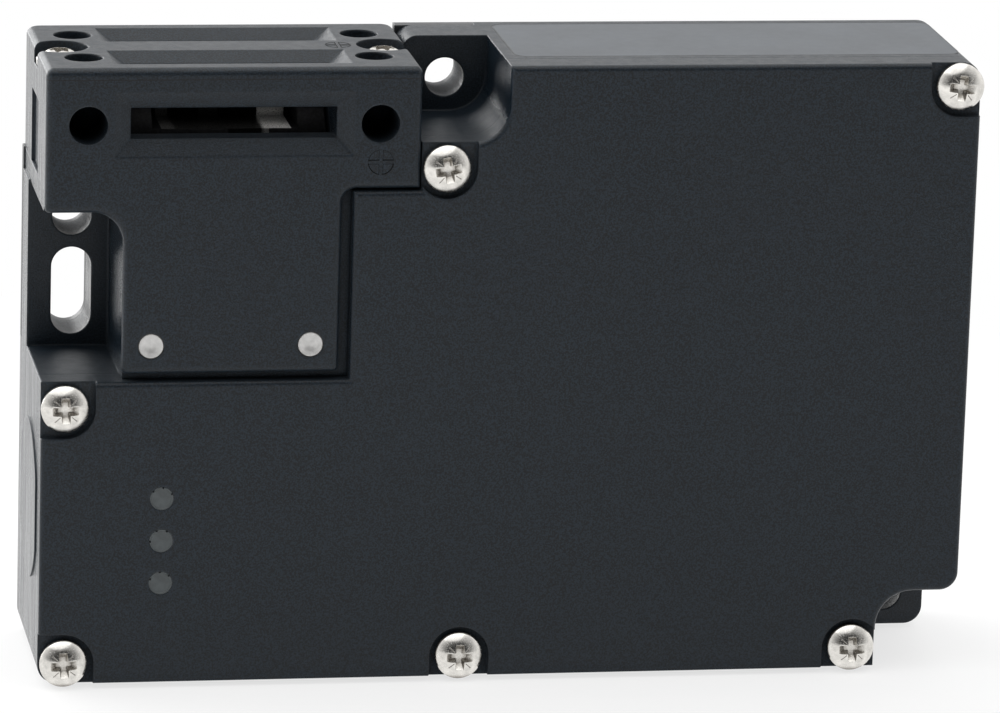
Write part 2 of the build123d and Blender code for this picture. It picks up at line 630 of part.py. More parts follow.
def label_plate():
    sheet = RectangleRounded(
        BODY_WIDTH - POCKET_X - 2 * LABEL_MARGIN, BODY_DEPTH - COVER_DEPTH - 2 * LABEL_MARGIN, LABEL_RADIUS
    )
    middle = Pos((POCKET_X + BODY_WIDTH) / 2, (COVER_DEPTH + BODY_DEPTH) / 2, BODY_HEIGHT - LABEL_THICKNESS)
    return extrude(middle * sheet, LABEL_THICKNESS)


# Head
def head_housing():
    head = prism(apron_outline(), 0, APRON_THICKNESS)
    head += block(HEAD_LEFT, HEAD_RIGHT, APRON_THICKNESS, BODY_DEPTH, HEAD_Z, BODY_HEIGHT)
    rear_corners = head.faces().sort_by(Axis.Y)[-1].edges().filter_by(Axis.Z)
    head = fillet(rear_corners, HEAD_REAR_RADIUS)
    front, top = head.faces().sort_by(Axis.Y)[0], head.faces().sort_by(Axis.Z)[-1]
    head = fillet(ShapeList({*front.outer_wire().edges(), *top.outer_wire().edges()}), HEAD_EDGE_RADIUS)
    head -= block(CHAMBER_X0, CHAMBER_X1, HEAD_WALL, CHAMBER_Y1, HEAD_Z, CHAMBER_Z1)
    head -= Pos(HEAD_MID, 0, FRONT_ENTRY_Z) * Rot(90, 0, 0) * entry_cut(HEAD_WALL + THROUGH)
    for y in TOP_ENTRY_YS:
        head -= Pos(HEAD_MID, y, BODY_HEIGHT) * entry_cut(HEAD_WALL + THROUGH)
    for x in GUIDE_XS:
        head -= bar_y(x, 0, FRONT_GUIDE_DEPTH, FRONT_ENTRY_Z, GUIDE_HOLE_RADIUS)
        for y in TOP_ENTRY_YS:
            head -= bar_z(x, y, BODY_HEIGHT - TOP_GUIDE_DEPTH, BODY_HEIGHT, GUIDE_HOLE_RADIUS)
    for x in HEAD_SCREW_XS:
        head -= bar_z(x, MID_Y, HEAD_Z, BODY_HEIGHT, HEAD_SCREW_RADIUS)
        head -= bar_z(x, MID_Y, HEAD_SCREW_SEAT_Z, BODY_HEIGHT + THROUGH, HEAD_SCREW_BORE_RADIUS)
    half = SIDE_POCKET_WIDTH / 2
    for x0, x1 in ((0, HEAD_LEFT + SIDE_POCKET_DEPTH), (HEAD_RIGHT - SIDE_POCKET_DEPTH, COVER_STEP_X)):
        head -= block(x0, x1, MID_Y - half, MID_Y + half, HEAD_Z, HEAD_Z + SIDE_POCKET_HEIGHT)
    saddle = (CHAMBER_X0 - AXLE_SEAT, CHAMBER_X1 + AXLE_SEAT)
    head -= bar_x(*saddle, DRUM_Y, DRUM_Z, AXLE_RADIUS)
    head -= block(*saddle, DRUM_Y - AXLE_RADIUS, DRUM_Y + AXLE_RADIUS, HEAD_Z, DRUM_Z)
    for x in PIN_XS:
        head -= bar_y(x, 0, APRON_THICKNESS, PIN_Z, PIN_RADIUS)
    return head


def head_screws():
    length = HEAD_SCREW_SEAT_Z - HEAD_Z + HEAD_SCREW_GRIP
    screw = pan_screw(HEAD_SCREW_RADIUS, length, HEAD_SCREW_HEAD_RADIUS, HEAD_SCREW_HEAD_HEIGHT)
    return [Pos(x, MID_Y, HEAD_SCREW_SEAT_Z) * screw for x in HEAD_SCREW_XS]


def head_pins():
    return [bar_y(x, 0, PIN_LENGTH, PIN_Z, PIN_RADIUS) for x in PIN_XS]


# Drum
def drum_axle():
    return bar_x(CHAMBER_X0 - AXLE_SEAT, CHAMBER_X1 + AXLE_SEAT, DRUM_Y, DRUM_Z, AXLE_RADIUS)


def front_insert():
    """The steel driver under the front tongue: a floor strip with upright tabs."""
    wall_y = DRUM_Y + NOTCH_REACH
    floor_z = DRUM_Z + NOTCH_FLOOR
    edge = math.sqrt(DRUM_RADIUS ** 2 - NOTCH_FLOOR ** 2)
    back = wall_y + INSERT_THICKNESS
    span = (INSERT_X0, INSERT_X0 + INSERT_WIDTH)
    insert = block(*span, DRUM_Y - edge, back, floor_z - INSERT_THICKNESS, floor_z)
    for start, end in INSERT_TABS:
        insert += block(INSERT_X0 + start, INSERT_X0 + end, wall_y, back, floor_z, floor_z + INSERT_TAB_RISE)
    return insert


def rear_insert():
    """The steel driver under the rear tongue: an angle in the rear notch."""
    wall_y = DRUM_Y + NOTCH_FLOOR
    floor_z = DRUM_Z - REAR_NOTCH_DROP
    span = (INSERT_X0, INSERT_X0 + INSERT_WIDTH)
    front = wall_y - INSERT_THICKNESS
    edge = DRUM_Y + DRUM_RADIUS - INSERT_SETBACK
    insert = block(*span, front, edge, floor_z - INSERT_THICKNESS, floor_z)
    return insert + block(*span, front, wall_y, floor_z, DRUM_Z + REAR_INSERT_TOP)


def lock_ramp():
    """The curved pocket in the right cheek, whose floor falls away as the drum turns."""
    middle = math.radians(DRUM_TURN / 2 - 90)
    along = (0, math.cos(HALF_TURN), math.sin(HALF_TURN))
    outward = (0, math.cos(middle), math.sin(middle))
    slope = LOCK_STROKE / (2 * LOCK_RADIUS * math.sin(HALF_TURN))
    depth = LOCK_STROKE + RAMP_FLOOR
    start = -(LOCK_STROKE / 2 + RAMP_RELIEF) / slope
    foot = start + depth / slope
    reach = LOCK_ROD_RADIUS + RAMP_SIDE_GAP
    end = LOCK_RADIUS * math.sin(HALF_TURN) + reach
    side = Plane(origin=(0, DRUM_Y, DRUM_Z), x_dir=along, z_dir=outward)
    profile = outline((start, DRUM_X1), (foot, DRUM_X1 - depth), (end, DRUM_X1 - depth), (end, DRUM_X1))
    wedge = extrude(side * profile, LOCK_RADIUS + reach)
    ring = bar_x(DRUM_X1 - depth, DRUM_X1, DRUM_Y, DRUM_Z, LOCK_RADIUS + reach)
    ring -= bar_x(DRUM_X1 - depth, DRUM_X1, DRUM_Y, DRUM_Z, LOCK_RADIUS - reach)
    return wedge & ring


def actuator_drum():
    drum = bar_x(DRUM_X0, NOTCH_X0, DRUM_Y, DRUM_Z, CHEEK_RADIUS)
    drum += bar_x(NOTCH_X1, DRUM_X1, DRUM_Y, DRUM_Z, CHEEK_RADIUS)
    drum += bar_x(NOTCH_X0, CAM_X0, DRUM_Y, DRUM_Z, DRUM_RADIUS)
    drum += bar_x(CAM_X0 + CAM_WIDTH, NOTCH_X1, DRUM_Y, DRUM_Z, DRUM_RADIUS)
    cam_y = DRUM_Y + CAM_OFFSET * math.cos(HALF_TURN)
    cam_z = DRUM_Z + CAM_OFFSET * math.sin(HALF_TURN)
    drum += bar_x(CAM_X0, CAM_X0 + CAM_WIDTH, cam_y, cam_z, CAM_RADIUS)
    top = DRUM_Z + CHEEK_RADIUS + THROUGH
    drum -= block(NOTCH_X0, NOTCH_X1, 0, DRUM_Y + NOTCH_REACH, DRUM_Z + NOTCH_FLOOR, top)
    drum -= block(NOTCH_X0, NOTCH_X1, DRUM_Y + NOTCH_FLOOR, BODY_DEPTH, DRUM_Z - REAR_NOTCH_DROP, top)
    drum -= bar_x(DRUM_X0, DRUM_X1, DRUM_Y, DRUM_Z, AXLE_RADIUS + RUNNING_FIT)
    return drum - front_insert() - rear_insert() - lock_ramp()


# Plunger and contacts
def plunger_rod():
    dome_z = PLUNGER_TOP - PLUNGER_RADIUS
    rod = bar_z(PLUNGER_X, MID_Y, SOCKET_Z, dome_z, PLUNGER_RADIUS)
    return rod + Pos(PLUNGER_X, MID_Y, dome_z) * Sphere(PLUNGER_RADIUS)


def contact_carrier():
    carrier = column(PLUNGER_X, MID_Y, CARRIER_WIDTH, CARRIER_DEPTH, CARRIER_Z, CARRIER_TOP)
    carrier -= bar_z(PLUNGER_X, MID_Y, SOCKET_Z, CARRIER_TOP, PLUNGER_RADIUS)
    for bridge in contact_bridges():
        carrier -= bridge
    return carrier


def contact_bridges():
    return [column(PLUNGER_X, MID_Y, BRIDGE_LENGTH, BRIDGE_WIDTH, z, z + BRIDGE_THICKNESS) for z in BRIDGE_ZS]


def fixed_contacts():
    """Strips through the side walls of the block, each with its contact button."""
    contacts = []
    inner = BRIDGE_LENGTH / 2 - 2 * CONTACT_RADIUS - PART_GAP
    middle = inner + CONTACT_STRIP_LENGTH / 2
    for z in BRIDGE_ZS:
        top = z - PLUNGER_STROKE - AIR_GAP
        strip_top = top - CONTACT_HEIGHT
        for side in (-1, 1):
            size = (CONTACT_STRIP_LENGTH, CONTACT_STRIP_WIDTH)
            strip = column(PLUNGER_X + side * middle, MID_Y, *size, strip_top - BRIDGE_THICKNESS, strip_top)
            button_x = PLUNGER_X + side * (inner + CONTACT_RADIUS + PART_GAP)
            contacts.append(strip + bar_z(button_x, MID_Y, strip_top, top, CONTACT_RADIUS))
    return contacts


def contact_block():
    half = BLOCK_WIDTH / 2
    room = half - BLOCK_SIDE_WALL
    floor_z = BLOCK_BOTTOM + BLOCK_FLOOR
    shell = block(PLUNGER_X - half, PLUNGER_X + half, BLOCK_FRONT, FLOOR_Y, BLOCK_BOTTOM, BLOCK_TOP)
    for x in FLANGE_XS:
        shell += screw_tab(x, FLANGE_Z)
        shell -= bar_y(x, TAB_FRONT, FLOOR_Y, FLANGE_Z, SMALL_SCREW_RADIUS)
    guide = (CARRIER_WIDTH + 2 * AIR_GAP, CARRIER_DEPTH + 2 * AIR_GAP)
    shell -= column(PLUNGER_X, MID_Y, *guide, floor_z, BLOCK_TOP + THROUGH)
    low = BRIDGE_ZS[0] - PLUNGER_STROKE - AIR_GAP - CONTACT_HEIGHT - BRIDGE_THICKNESS
    high = BRIDGE_ZS[-1] + BRIDGE_THICKNESS + AIR_GAP
    shell -= column(PLUNGER_X, MID_Y, 2 * room, BRIDGE_WIDTH + 2 * BRIDGE_ROOM, low, high)
    for contact in fixed_contacts():
        shell -= contact
    return shell


def plunger_spring():
    floor_z = BLOCK_BOTTOM + BLOCK_FLOOR
    coil = coil_spring(PLUNGER_SPRING_RADIUS, SPRING_WIRE, CARRIER_Z - floor_z, PLUNGER_SPRING_TURNS)
    return Pos(PLUNGER_X, MID_Y, floor_z) * coil


def plunger_seal():
    ring = bar_z(PLUNGER_X, MID_Y, *PLUNGER_SEAL_SPAN, PLUNGER_RADIUS + SEAL_WIDTH)
    return ring - bar_z(PLUNGER_X, MID_Y, *PLUNGER_SEAL_SPAN, PLUNGER_RADIUS + RUNNING_FIT)


# Lock magnet
def lock_rod():
    shoulder = LOCK_TIP_X + LOCK_ROD_RADIUS
    rod = bar_x(shoulder, ARMATURE_X0 + LOCK_ROD_SOCKET, MID_Y, LOCK_Z, LOCK_ROD_RADIUS)
    return rod + Pos(shoulder, MID_Y, LOCK_Z) * Sphere(LOCK_ROD_RADIUS)


def lock_seal():
    ring = bar_x(*LOCK_SEAL_SPAN, MID_Y, LOCK_Z, LOCK_ROD_RADIUS + SEAL_WIDTH)
    return ring - bar_x(*LOCK_SEAL_SPAN, MID_Y, LOCK_Z, LOCK_ROD_RADIUS + RUNNING_FIT)


def armature():
    core = bar_x(ARMATURE_X0, ARMATURE_X1, MID_Y, LOCK_Z, ARMATURE_RADIUS)
    core -= bar_x(ARMATURE_X0, ARMATURE_X0 + LOCK_ROD_SOCKET, MID_Y, LOCK_Z, LOCK_ROD_RADIUS)
    return core - bar_x(POLE_X - LOCK_SPRING_LENGTH, ARMATURE_X1, MID_Y, LOCK_Z, LOCK_SPRING_BORE)


def lock_spring():
    coil = coil_spring(LOCK_SPRING_RADIUS, SPRING_WIRE, LOCK_SPRING_LENGTH, LOCK_SPRING_TURNS)
    return Pos(POLE_X - LOCK_SPRING_LENGTH, MID_Y, LOCK_Z) * Rot(0, 90, 0) * coil


def pole_piece():
    core = bar_x(POLE_X, COIL_X1, MID_Y, LOCK_Z, ARMATURE_RADIUS)
    return core + bar_x(COIL_X1, MAGNET_RIGHT, MID_Y, LOCK_Z, POLE_STUD_RADIUS)


def magnet_yoke():
    low, high = LOCK_Z - MAGNET_HEIGHT / 2, LOCK_Z + MAGNET_HEIGHT / 2
    yoke = block(MAGNET_LEFT, MAGNET_RIGHT, TAB_FRONT, FLOOR_Y, low, high)
    yoke += block(MAGNET_LEFT, COIL_X0, YOKE_Y0, FLOOR_Y, low, high)
    yoke += block(COIL_X1, MAGNET_RIGHT, YOKE_Y0, FLOOR_Y, low, high)
    for x in magnet_screw_xs():
        yoke += screw_tab(x, LOCK_Z)
        yoke -= bar_y(x, TAB_FRONT, FLOOR_Y, LOCK_Z, SMALL_SCREW_RADIUS)
    yoke -= bar_x(MAGNET_LEFT, COIL_X0, MID_Y, LOCK_Z, ARMATURE_RADIUS + RUNNING_FIT)
    return yoke - bar_x(COIL_X1, MAGNET_RIGHT, MID_Y, LOCK_Z, POLE_STUD_RADIUS)


def magnet_bobbin():
    bobbin = bar_x(COIL_X0, COIL_X1, MID_Y, LOCK_Z, BOBBIN_TUBE_RADIUS)
    bobbin += bar_x(COIL_X0, COIL_X0 + BOBBIN_FLANGE, MID_Y, LOCK_Z, BOBBIN_FLANGE_RADIUS)
    bobbin += bar_x(COIL_X1 - BOBBIN_FLANGE, COIL_X1, MID_Y, LOCK_Z, BOBBIN_FLANGE_RADIUS)
    bobbin -= bar_x(COIL_X0, POLE_X, MID_Y, LOCK_Z, ARMATURE_RADIUS + RUNNING_FIT)
    return bobbin - bar_x(POLE_X, COIL_X1, MID_Y, LOCK_Z, ARMATURE_RADIUS)


def magnet_winding():
    span = (COIL_X0 + BOBBIN_FLANGE, COIL_X1 - BOBBIN_FLANGE)
    return bar_x(*span, MID_Y, LOCK_Z, WINDING_RADIUS) - bar_x(*span, MID_Y, LOCK_Z, BOBBIN_TUBE_RADIUS)


def magnet_screw_xs():
    return (MAGNET_LEFT - FLANGE_WIDTH / 2, MAGNET_RIGHT + FLANGE_WIDTH / 2)


# Indicators
def indicator_lenses():
    lenses = []
    for z in WINDOW_ZS:
        lens = bar_y(WINDOW_X, 0, COVER_SKIN, z, WINDOW_RADIUS)
        lens += bar_y(WINDOW_X, COVER_SKIN, COVER_SKIN + LENS_COLLAR, z, LENS_COLLAR_RADIUS)
        lens += bar_y(WINDOW_X, COVER_SKIN + LENS_COLLAR, led_front() - LED_GAP, z, LENS_TAIL_RADIUS)
        lenses.append(lens)
    return lenses


def led_front():
    return BLOCK_FRONT - INDICATOR_BOARD_THICKNESS - LED_HEIGHT


def indicator_leds():
    base = BLOCK_FRONT - INDICATOR_BOARD_THICKNESS
    leds = []
    for z in WINDOW_ZS:
        body = bar_y(WINDOW_X, led_front(), base, z, LED_RADIUS)
        leds.append(fillet(body.faces().sort_by(Axis.Y)[0].edges(), LED_EDGE_RADIUS))
    return leds


def indicator_board():
    middle_y = BLOCK_FRONT - INDICATOR_BOARD_THICKNESS / 2
    low, high = WINDOW_ZS[0] - INDICATOR_BOARD_MARGIN, WINDOW_ZS[-1] + INDICATOR_BOARD_MARGIN
    return column(WINDOW_X, middle_y, INDICATOR_BOARD_WIDTH, INDICATOR_BOARD_THICKNESS, low, high)


# Terminals
def terminal_board():
    board = block(BOARD_LEFT, BOARD_RIGHT, TERMINAL_BACK, FLOOR_Y, BOARD_BOTTOM, BOARD_TOP)
    for x in BOARD_SCREW_XS:
        board -= bar_y(x, TERMINAL_BACK, FLOOR_Y, BOARD_SCREW_Z, SMALL_SCREW_RADIUS)
    return board


def terminal_block():
    top = TERMINAL_Z + TERMINAL_HEIGHT
    body = block(TERMINAL_LEFT, TERMINAL_RIGHT, TERMINAL_FRONT, TERMINAL_BACK, TERMINAL_Z, top)
    clamp_y = CLAMP_Y0 + CLAMP_DEPTH / 2
    wire_y = CLAMP_Y0 + CLAMP_DEPTH - CLAMP_LIP - CLAMP_WIRE_HOLE / 2
    screw_z = CLAMP_Z + CLAMP_HEIGHT / 2
    for x in TERMINAL_XS:
        body -= column(x, clamp_y, CLAMP_WIDTH, CLAMP_DEPTH, CLAMP_Z, top)
        body -= bar_y(x, TERMINAL_FRONT, CLAMP_Y0, screw_z, CLAMP_SCREW_HEAD_RADIUS)
        body -= bar_z(x, wire_y, TERMINAL_Z, CLAMP_Z, CLAMP_WIRE_HOLE / 2)
    return body


def terminal_clamps():
    wire_y0 = CLAMP_Y0 + CLAMP_DEPTH - CLAMP_LIP - CLAMP_WIRE_HOLE
    wire_y = wire_y0 + CLAMP_WIRE_HOLE / 2
    span = (CLAMP_Z, CLAMP_Z + CLAMP_HEIGHT)
    clamps = []
    for x in TERMINAL_XS:
        clamp = column(x, CLAMP_Y0 + CLAMP_DEPTH / 2, CLAMP_WIDTH, CLAMP_DEPTH, *span)
        clamp -= column(x, wire_y, CLAMP_WIRE_HOLE, CLAMP_WIRE_HOLE, *span)
        clamps.append(clamp - bar_y(x, CLAMP_Y0, wire_y0, sum(span) / 2, CLAMP_SCREW_RADIUS))
    return clamps


def terminal_screws():
    length = CLAMP_DEPTH - CLAMP_LIP - CLAMP_WIRE_HOLE
    screw = bar_y(0, 0, length, 0, CLAMP_SCREW_RADIUS)
    screw += bar_y(0, -CLAMP_SCREW_HEAD_HEIGHT, 0, 0, CLAMP_SCREW_HEAD_RADIUS)
    return [Pos(x, CLAMP_Y0, CLAMP_Z + CLAMP_HEIGHT / 2) * screw for x in TERMINAL_XS]


# Screws and tabs that hold the modules to the rear wall
def screw_tab(x, z):
    half = FLANGE_HEIGHT / 2
    return column(x, (TAB_FRONT + FLOOR_Y) / 2, FLANGE_WIDTH, YOKE_THICKNESS, z - half, z + half)


def module_screw_places():
    places = [(x, FLANGE_Z) for x in FLANGE_XS]
    places += [(x, LOCK_Z) for x in magnet_screw_xs()]
    return places + [(x, BOARD_SCREW_Z) for x in BOARD_SCREW_XS]


def module_screws():
    sizes = (SMALL_SCREW_RADIUS, SMALL_SCREW_LENGTH, SMALL_SCREW_HEAD_RADIUS, SMALL_SCREW_HEAD_HEIGHT)
    screw = Rot(90, 0, 0) * pan_screw(*sizes)
    return [Pos(x, TAB_FRONT, z) * screw for x, z in module_screw_places()]


save("base_housing", base_housing())
save("front_cover", front_cover())
save("cover_gasket", cover_gasket())
save("cover_screws", *cover_screws())
save("rear_plate", rear_plate())
save("plate_screws", *plate_screws())
save("label_plate", label_plate())
save("head_housing", head_housing())
save("head_screws", *head_screws())
save("head_pins", *head_pins())
save("drum_axle", drum_axle())
save("actuator_drum", actuator_drum())
save("front_insert", front_insert())
save("rear_insert", rear_insert())
save("plunger_rod", plunger_rod())
save("contact_carrier", contact_carrier())
save("contact_bridges", *contact_bridges())
save("fixed_contacts", *fixed_contacts())
save("contact_block", contact_block())
save("plunger_spring", plunger_spring())
save("plunger_seal", plunger_seal())
save("lock_rod", lock_rod())
save("lock_seal", lock_seal())
save("armature", armature())
save("lock_spring", lock_spring())
save("pole_piece", pole_piece())
save("magnet_yoke", magnet_yoke())
save("magnet_bobbin", magnet_bobbin())
save("magnet_winding", magnet_winding())
save("indicator_lenses", *indicator_lenses())
save("indicator_leds", *indicator_leds())
save("indicator_board", indicator_board())
save("terminal_board", terminal_board())
save("terminal_block", terminal_block())
save("terminal_clamps", *terminal_clamps())
save("terminal_screws", *terminal_screws())
save("module_screws", *module_screws())
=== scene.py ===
"""Dresses the tongue interlock switch: its finishes, screws, windows, marks and a plain studio."""

import json
import math

import bmesh
import bpy
from bpy.props import FloatProperty, FloatVectorProperty, IntProperty, PointerProperty
from mathutils import Matrix, Vector

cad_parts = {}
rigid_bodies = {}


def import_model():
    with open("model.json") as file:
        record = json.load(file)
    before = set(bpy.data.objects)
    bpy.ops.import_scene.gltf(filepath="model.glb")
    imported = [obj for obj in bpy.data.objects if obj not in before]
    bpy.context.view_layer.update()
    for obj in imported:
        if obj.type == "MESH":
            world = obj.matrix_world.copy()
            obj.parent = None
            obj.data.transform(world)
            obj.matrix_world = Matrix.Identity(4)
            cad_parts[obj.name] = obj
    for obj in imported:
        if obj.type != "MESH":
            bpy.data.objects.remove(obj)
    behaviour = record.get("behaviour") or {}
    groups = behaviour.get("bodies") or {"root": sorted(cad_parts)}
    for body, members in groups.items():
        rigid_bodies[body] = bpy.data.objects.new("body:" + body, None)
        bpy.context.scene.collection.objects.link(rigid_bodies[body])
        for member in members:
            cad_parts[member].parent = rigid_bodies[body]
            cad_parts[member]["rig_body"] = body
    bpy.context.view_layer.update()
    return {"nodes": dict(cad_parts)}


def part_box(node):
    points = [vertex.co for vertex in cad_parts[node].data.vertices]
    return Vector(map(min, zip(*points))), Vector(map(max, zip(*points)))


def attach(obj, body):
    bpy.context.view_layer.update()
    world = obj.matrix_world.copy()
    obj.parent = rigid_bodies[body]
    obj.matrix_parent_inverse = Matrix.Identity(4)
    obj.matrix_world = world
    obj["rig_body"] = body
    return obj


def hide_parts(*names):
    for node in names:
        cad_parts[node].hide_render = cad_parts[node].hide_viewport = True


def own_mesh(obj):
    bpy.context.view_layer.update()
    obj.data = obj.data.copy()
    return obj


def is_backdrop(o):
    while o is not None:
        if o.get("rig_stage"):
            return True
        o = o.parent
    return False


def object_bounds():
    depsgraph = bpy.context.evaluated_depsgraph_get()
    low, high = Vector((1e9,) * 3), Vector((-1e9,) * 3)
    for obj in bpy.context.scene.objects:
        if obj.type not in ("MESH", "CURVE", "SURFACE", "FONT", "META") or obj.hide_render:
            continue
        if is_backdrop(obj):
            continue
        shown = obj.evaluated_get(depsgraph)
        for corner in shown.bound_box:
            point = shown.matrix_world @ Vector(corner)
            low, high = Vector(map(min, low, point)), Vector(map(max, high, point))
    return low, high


bl_info = {
    "name": "Tongue interlock switch",
    "version": (1, 0, 0),
    "blender": (4, 5, 0),
    "location": "View3D > Sidebar > Interlock",
    "description": "Builds the looks of a tongue interlock switch round its packed solids",
    "category": "Object",
}

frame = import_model()
MM = 0.001
UP = Vector((0, 0, 1))
FRONT = Vector((0, -1, 0))
REAR = Vector((0, 1, 0))

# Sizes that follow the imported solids
PAN_HEIGHT = 2.4 * MM
INNER_HEAD_HEIGHT = 1.6 * MM
COUNTERSINK = 1.4 * MM
COVER_SHANK = 2.0 * MM
HEAD_SHANK = 1.75 * MM
PLATE_SHANK = 1.5 * MM
MODULE_SHANK = 1.5 * MM
CLAMP_SHANK = 1.25 * MM
DOME_SHARE = 0.6
RIM_SHARE = 0.12
RIM_BREAK = 0.1 * MM
DOME_STEPS = 14
FLOOR_GAP = 0.2 * MM
SMALL_CROSS = 0.72


def length(name, default, description):
    return FloatProperty(name=name, description=description, default=default, unit="LENGTH", precision=5)


def angle(name, default, description):
    return FloatProperty(
        name=name, description=description, default=math.radians(default), subtype="ANGLE", unit="ROTATION"
    )


def factor(name, default, description):
    return FloatProperty(name=name, description=description, default=default, min=0, max=1, subtype="FACTOR")


def colour(name, default, description):
    return FloatVectorProperty(
        name=name, description=description, default=default, size=3, min=0, max=1, subtype="COLOR"
    )


# Sizes and colours that a user would change
class InterlockPlastic(bpy.types.PropertyGroup):
    housing: colour("Housing", (0.0027, 0.0049, 0.0074), "Colour of the anthracite housing plastic")
    # Lighter colour on the rounded edges: partly wear, partly a painted highlight where the edges catch the
    # light.
    worn_edge_highlight: colour("Worn edge", (0.036, 0.043, 0.052), "Colour of the housing plastic on its rubbed edges")
    black: colour("Black moulding", (0.0016, 0.0016, 0.0018), "Colour of the drum, carrier and bobbin")
    terminal: colour("Terminal block", (0.25, 0.26, 0.26), "Colour of the terminal block")
    contact_block: colour("Contact block", (0.16, 0.15, 0.13), "Colour of the contact block")
    label: colour("Label", (0.048, 0.057, 0.068), "Colour of the bare label plate")
    window: colour("Window", (0.038, 0.047, 0.050), "Colour of the smoked indicator windows")
    board: colour("Circuit board", (0.012, 0.110, 0.050), "Colour of the circuit boards' lacquer")
    rubber: colour("Rubber", (0.020, 0.020, 0.021), "Colour of the gasket and seals")
    roughness: factor("Roughness", 0.42, "Roughness of the housing plastic")
    bore_roughness: factor("Bore roughness", 0.85, "Roughness inside the holes and slots")
    side_roughness: factor("Side roughness", 0.18, "Roughness of the smoother faces on the left and right")
    specular: factor("Specular", 0.34, "Reflection of the housing plastic seen straight on")
    grain: length("Grain", 0.22 * MM, "Width of one grain of the moulded texture")
    grain_height: length("Grain height", 0.055 * MM, "Height of the moulded texture")
    edge: length("Edge radius", 0.42 * MM, "Radius to which the moulded edges are softened")


class InterlockMetal(bpy.types.PropertyGroup):
    nickel: colour("Nickel", (0.72, 0.70, 0.66), "Colour of the plated screws")
    pin: colour("Pin", (0.56, 0.555, 0.545), "Colour of the flush pins")
    steel: colour("Steel", (0.55, 0.54, 0.52), "Colour of the machined steel pieces")
    iron: colour("Iron", (0.36, 0.37, 0.38), "Colour of the magnet's iron")
    brass: colour("Brass", (0.70, 0.52, 0.26), "Colour of the contacts and clamps")
    copper: colour("Copper", (0.62, 0.25, 0.11), "Colour of the magnet's winding")
    plate: colour("Plate", (0.020, 0.022, 0.025), "Colour of the coated rear plate")
    nickel_roughness: factor("Nickel roughness", 0.20, "Roughness of the plated screws")


class InterlockScrews(bpy.types.PropertyGroup):
    wing_width: length("Wing width", 1.22 * MM, "Width of one wing of the cross recess")
    wing_span: length("Wing span", 3.90 * MM, "Width over the cross recess at the top of the head")
    recess_depth: length("Recess depth", 1.4 * MM, "Depth of the cross recess")
    tick: length("Tick", 1.05 * MM, "Length of the marks between the wings")
    tick_start: length("Tick start", 1.12 * MM, "Distance of the marks from the middle of the screw")
    lobe_radius: length("Lobe radius", 1.55 * MM, "Outer radius of the six-lobe recess")
    lobe_depth: length("Lobe depth", 1.4 * MM, "Depth of the six-lobe recess")
    thread_pitch: length("Thread pitch", 0.8 * MM, "Pitch of the screws' threads")
    thread_depth: length("Thread depth", 0.22 * MM, "Depth of the screws' threads")
    segments: IntProperty(name="Segments", description="Faces round a screw", default=72, min=12)


class InterlockMarks(bpy.types.PropertyGroup):
    ring_radius: length("Ring radius", 1.80 * MM, "Outer radius of the two index marks on the head")
    bar: length("Bar", 0.42 * MM, "Width of the cross bars in the index marks")
    line: length("Line", 0.13 * MM, "Width of the index marks' lines")
    relief: length("Relief", 0.02 * MM, "Height of marks and outlines over the surface")
    label_line: length("Label line", 0.16 * MM, "Width of the dark line round the label plate")
    front_inset: length("Front inset", 5.6 * MM, "Distance of the front mark from the head's right side")
    front_drop: length("Front drop", 13.2 * MM, "Distance of the front mark from the head's top face")
    top_inset: length("Top inset", 9.7 * MM, "Distance of the top mark from the head's right side")
    label_corner: length("Label corner", 2.0 * MM, "Radius of the label plate's corners")
    seam_drop: length("Seam drop", 1.55 * MM, "Distance of the head's mould line from its top face")


class InterlockStage(bpy.types.PropertyGroup):
    floor: colour("Floor", (0.92, 0.92, 0.92), "Colour of the floor near the switch")
    floor_radius: length("Floor radius", 3.0, "Radius of the floor")
    shade_radius: length("Shade radius", 0.20, "Distance out to which the floor takes shadows")
    mirror_reach: length("Mirror reach", 0.055, "How far in front of the switch its floor mirrors bright")
    camera_place: FloatVectorProperty(
        name="Camera", description="Place of the camera", default=(-0.1553, -0.9009, 0.2315), unit="LENGTH"
    )
    azimuth: angle("Azimuth", 10.01, "How far the camera stands to the left of the switch")
    elevation: angle("Elevation", 14.51, "How far the camera looks down")
    roll: angle("Roll", 1.76, "Turn of the camera about its own view")
    lens: FloatProperty(name="Lens", description="Focal length on a 36 mm sensor", default=238.2)
    front_fill: FloatProperty(name="Front fill", description="Light from the front", default=0.04)
    rear_fill: FloatProperty(name="Rear fill", description="Light from behind", default=1.12)
    key: FloatProperty(name="Key", description="Power of the large lamp above, in watts", default=4.8)
    rim: FloatProperty(name="Rim", description="Power of the lamp behind on the left, in watts", default=17.0)


# Mesh helpers
def piece(name, verts, faces, material, body, smooth=30):
    """An object from corners and faces that rides on a body and takes its finish from a slot."""
    return place(name, closed_mesh(name, verts, faces), material, body, smooth=smooth)


def closed_mesh(name, verts, faces):
    """A mesh whose doubled corners are joined and whose faces look outwards."""
    mesh = bpy.data.meshes.new(name)
    mesh.from_pydata(verts, [], faces)
    tidy_normals(mesh)
    return mesh


def tidy_normals(mesh):
    work = bmesh.new()
    work.from_mesh(mesh)
    bmesh.ops.remove_doubles(work, verts=work.verts, dist=1e-7)
    bmesh.ops.recalc_face_normals(work, faces=work.faces)
    work.to_mesh(mesh)
    work.free()


def place(name, mesh, material, body, matrix=Matrix.Identity(4), smooth=30):
    obj = bpy.data.objects.new(name, mesh)
    bpy.context.scene.collection.objects.link(obj)
    mesh.materials.clear()
    mesh.materials.append(material)
    mesh.shade_smooth()
    mesh.set_sharp_from_angle(angle=math.radians(smooth))
    obj.matrix_world = matrix
    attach(obj, body)
    return obj


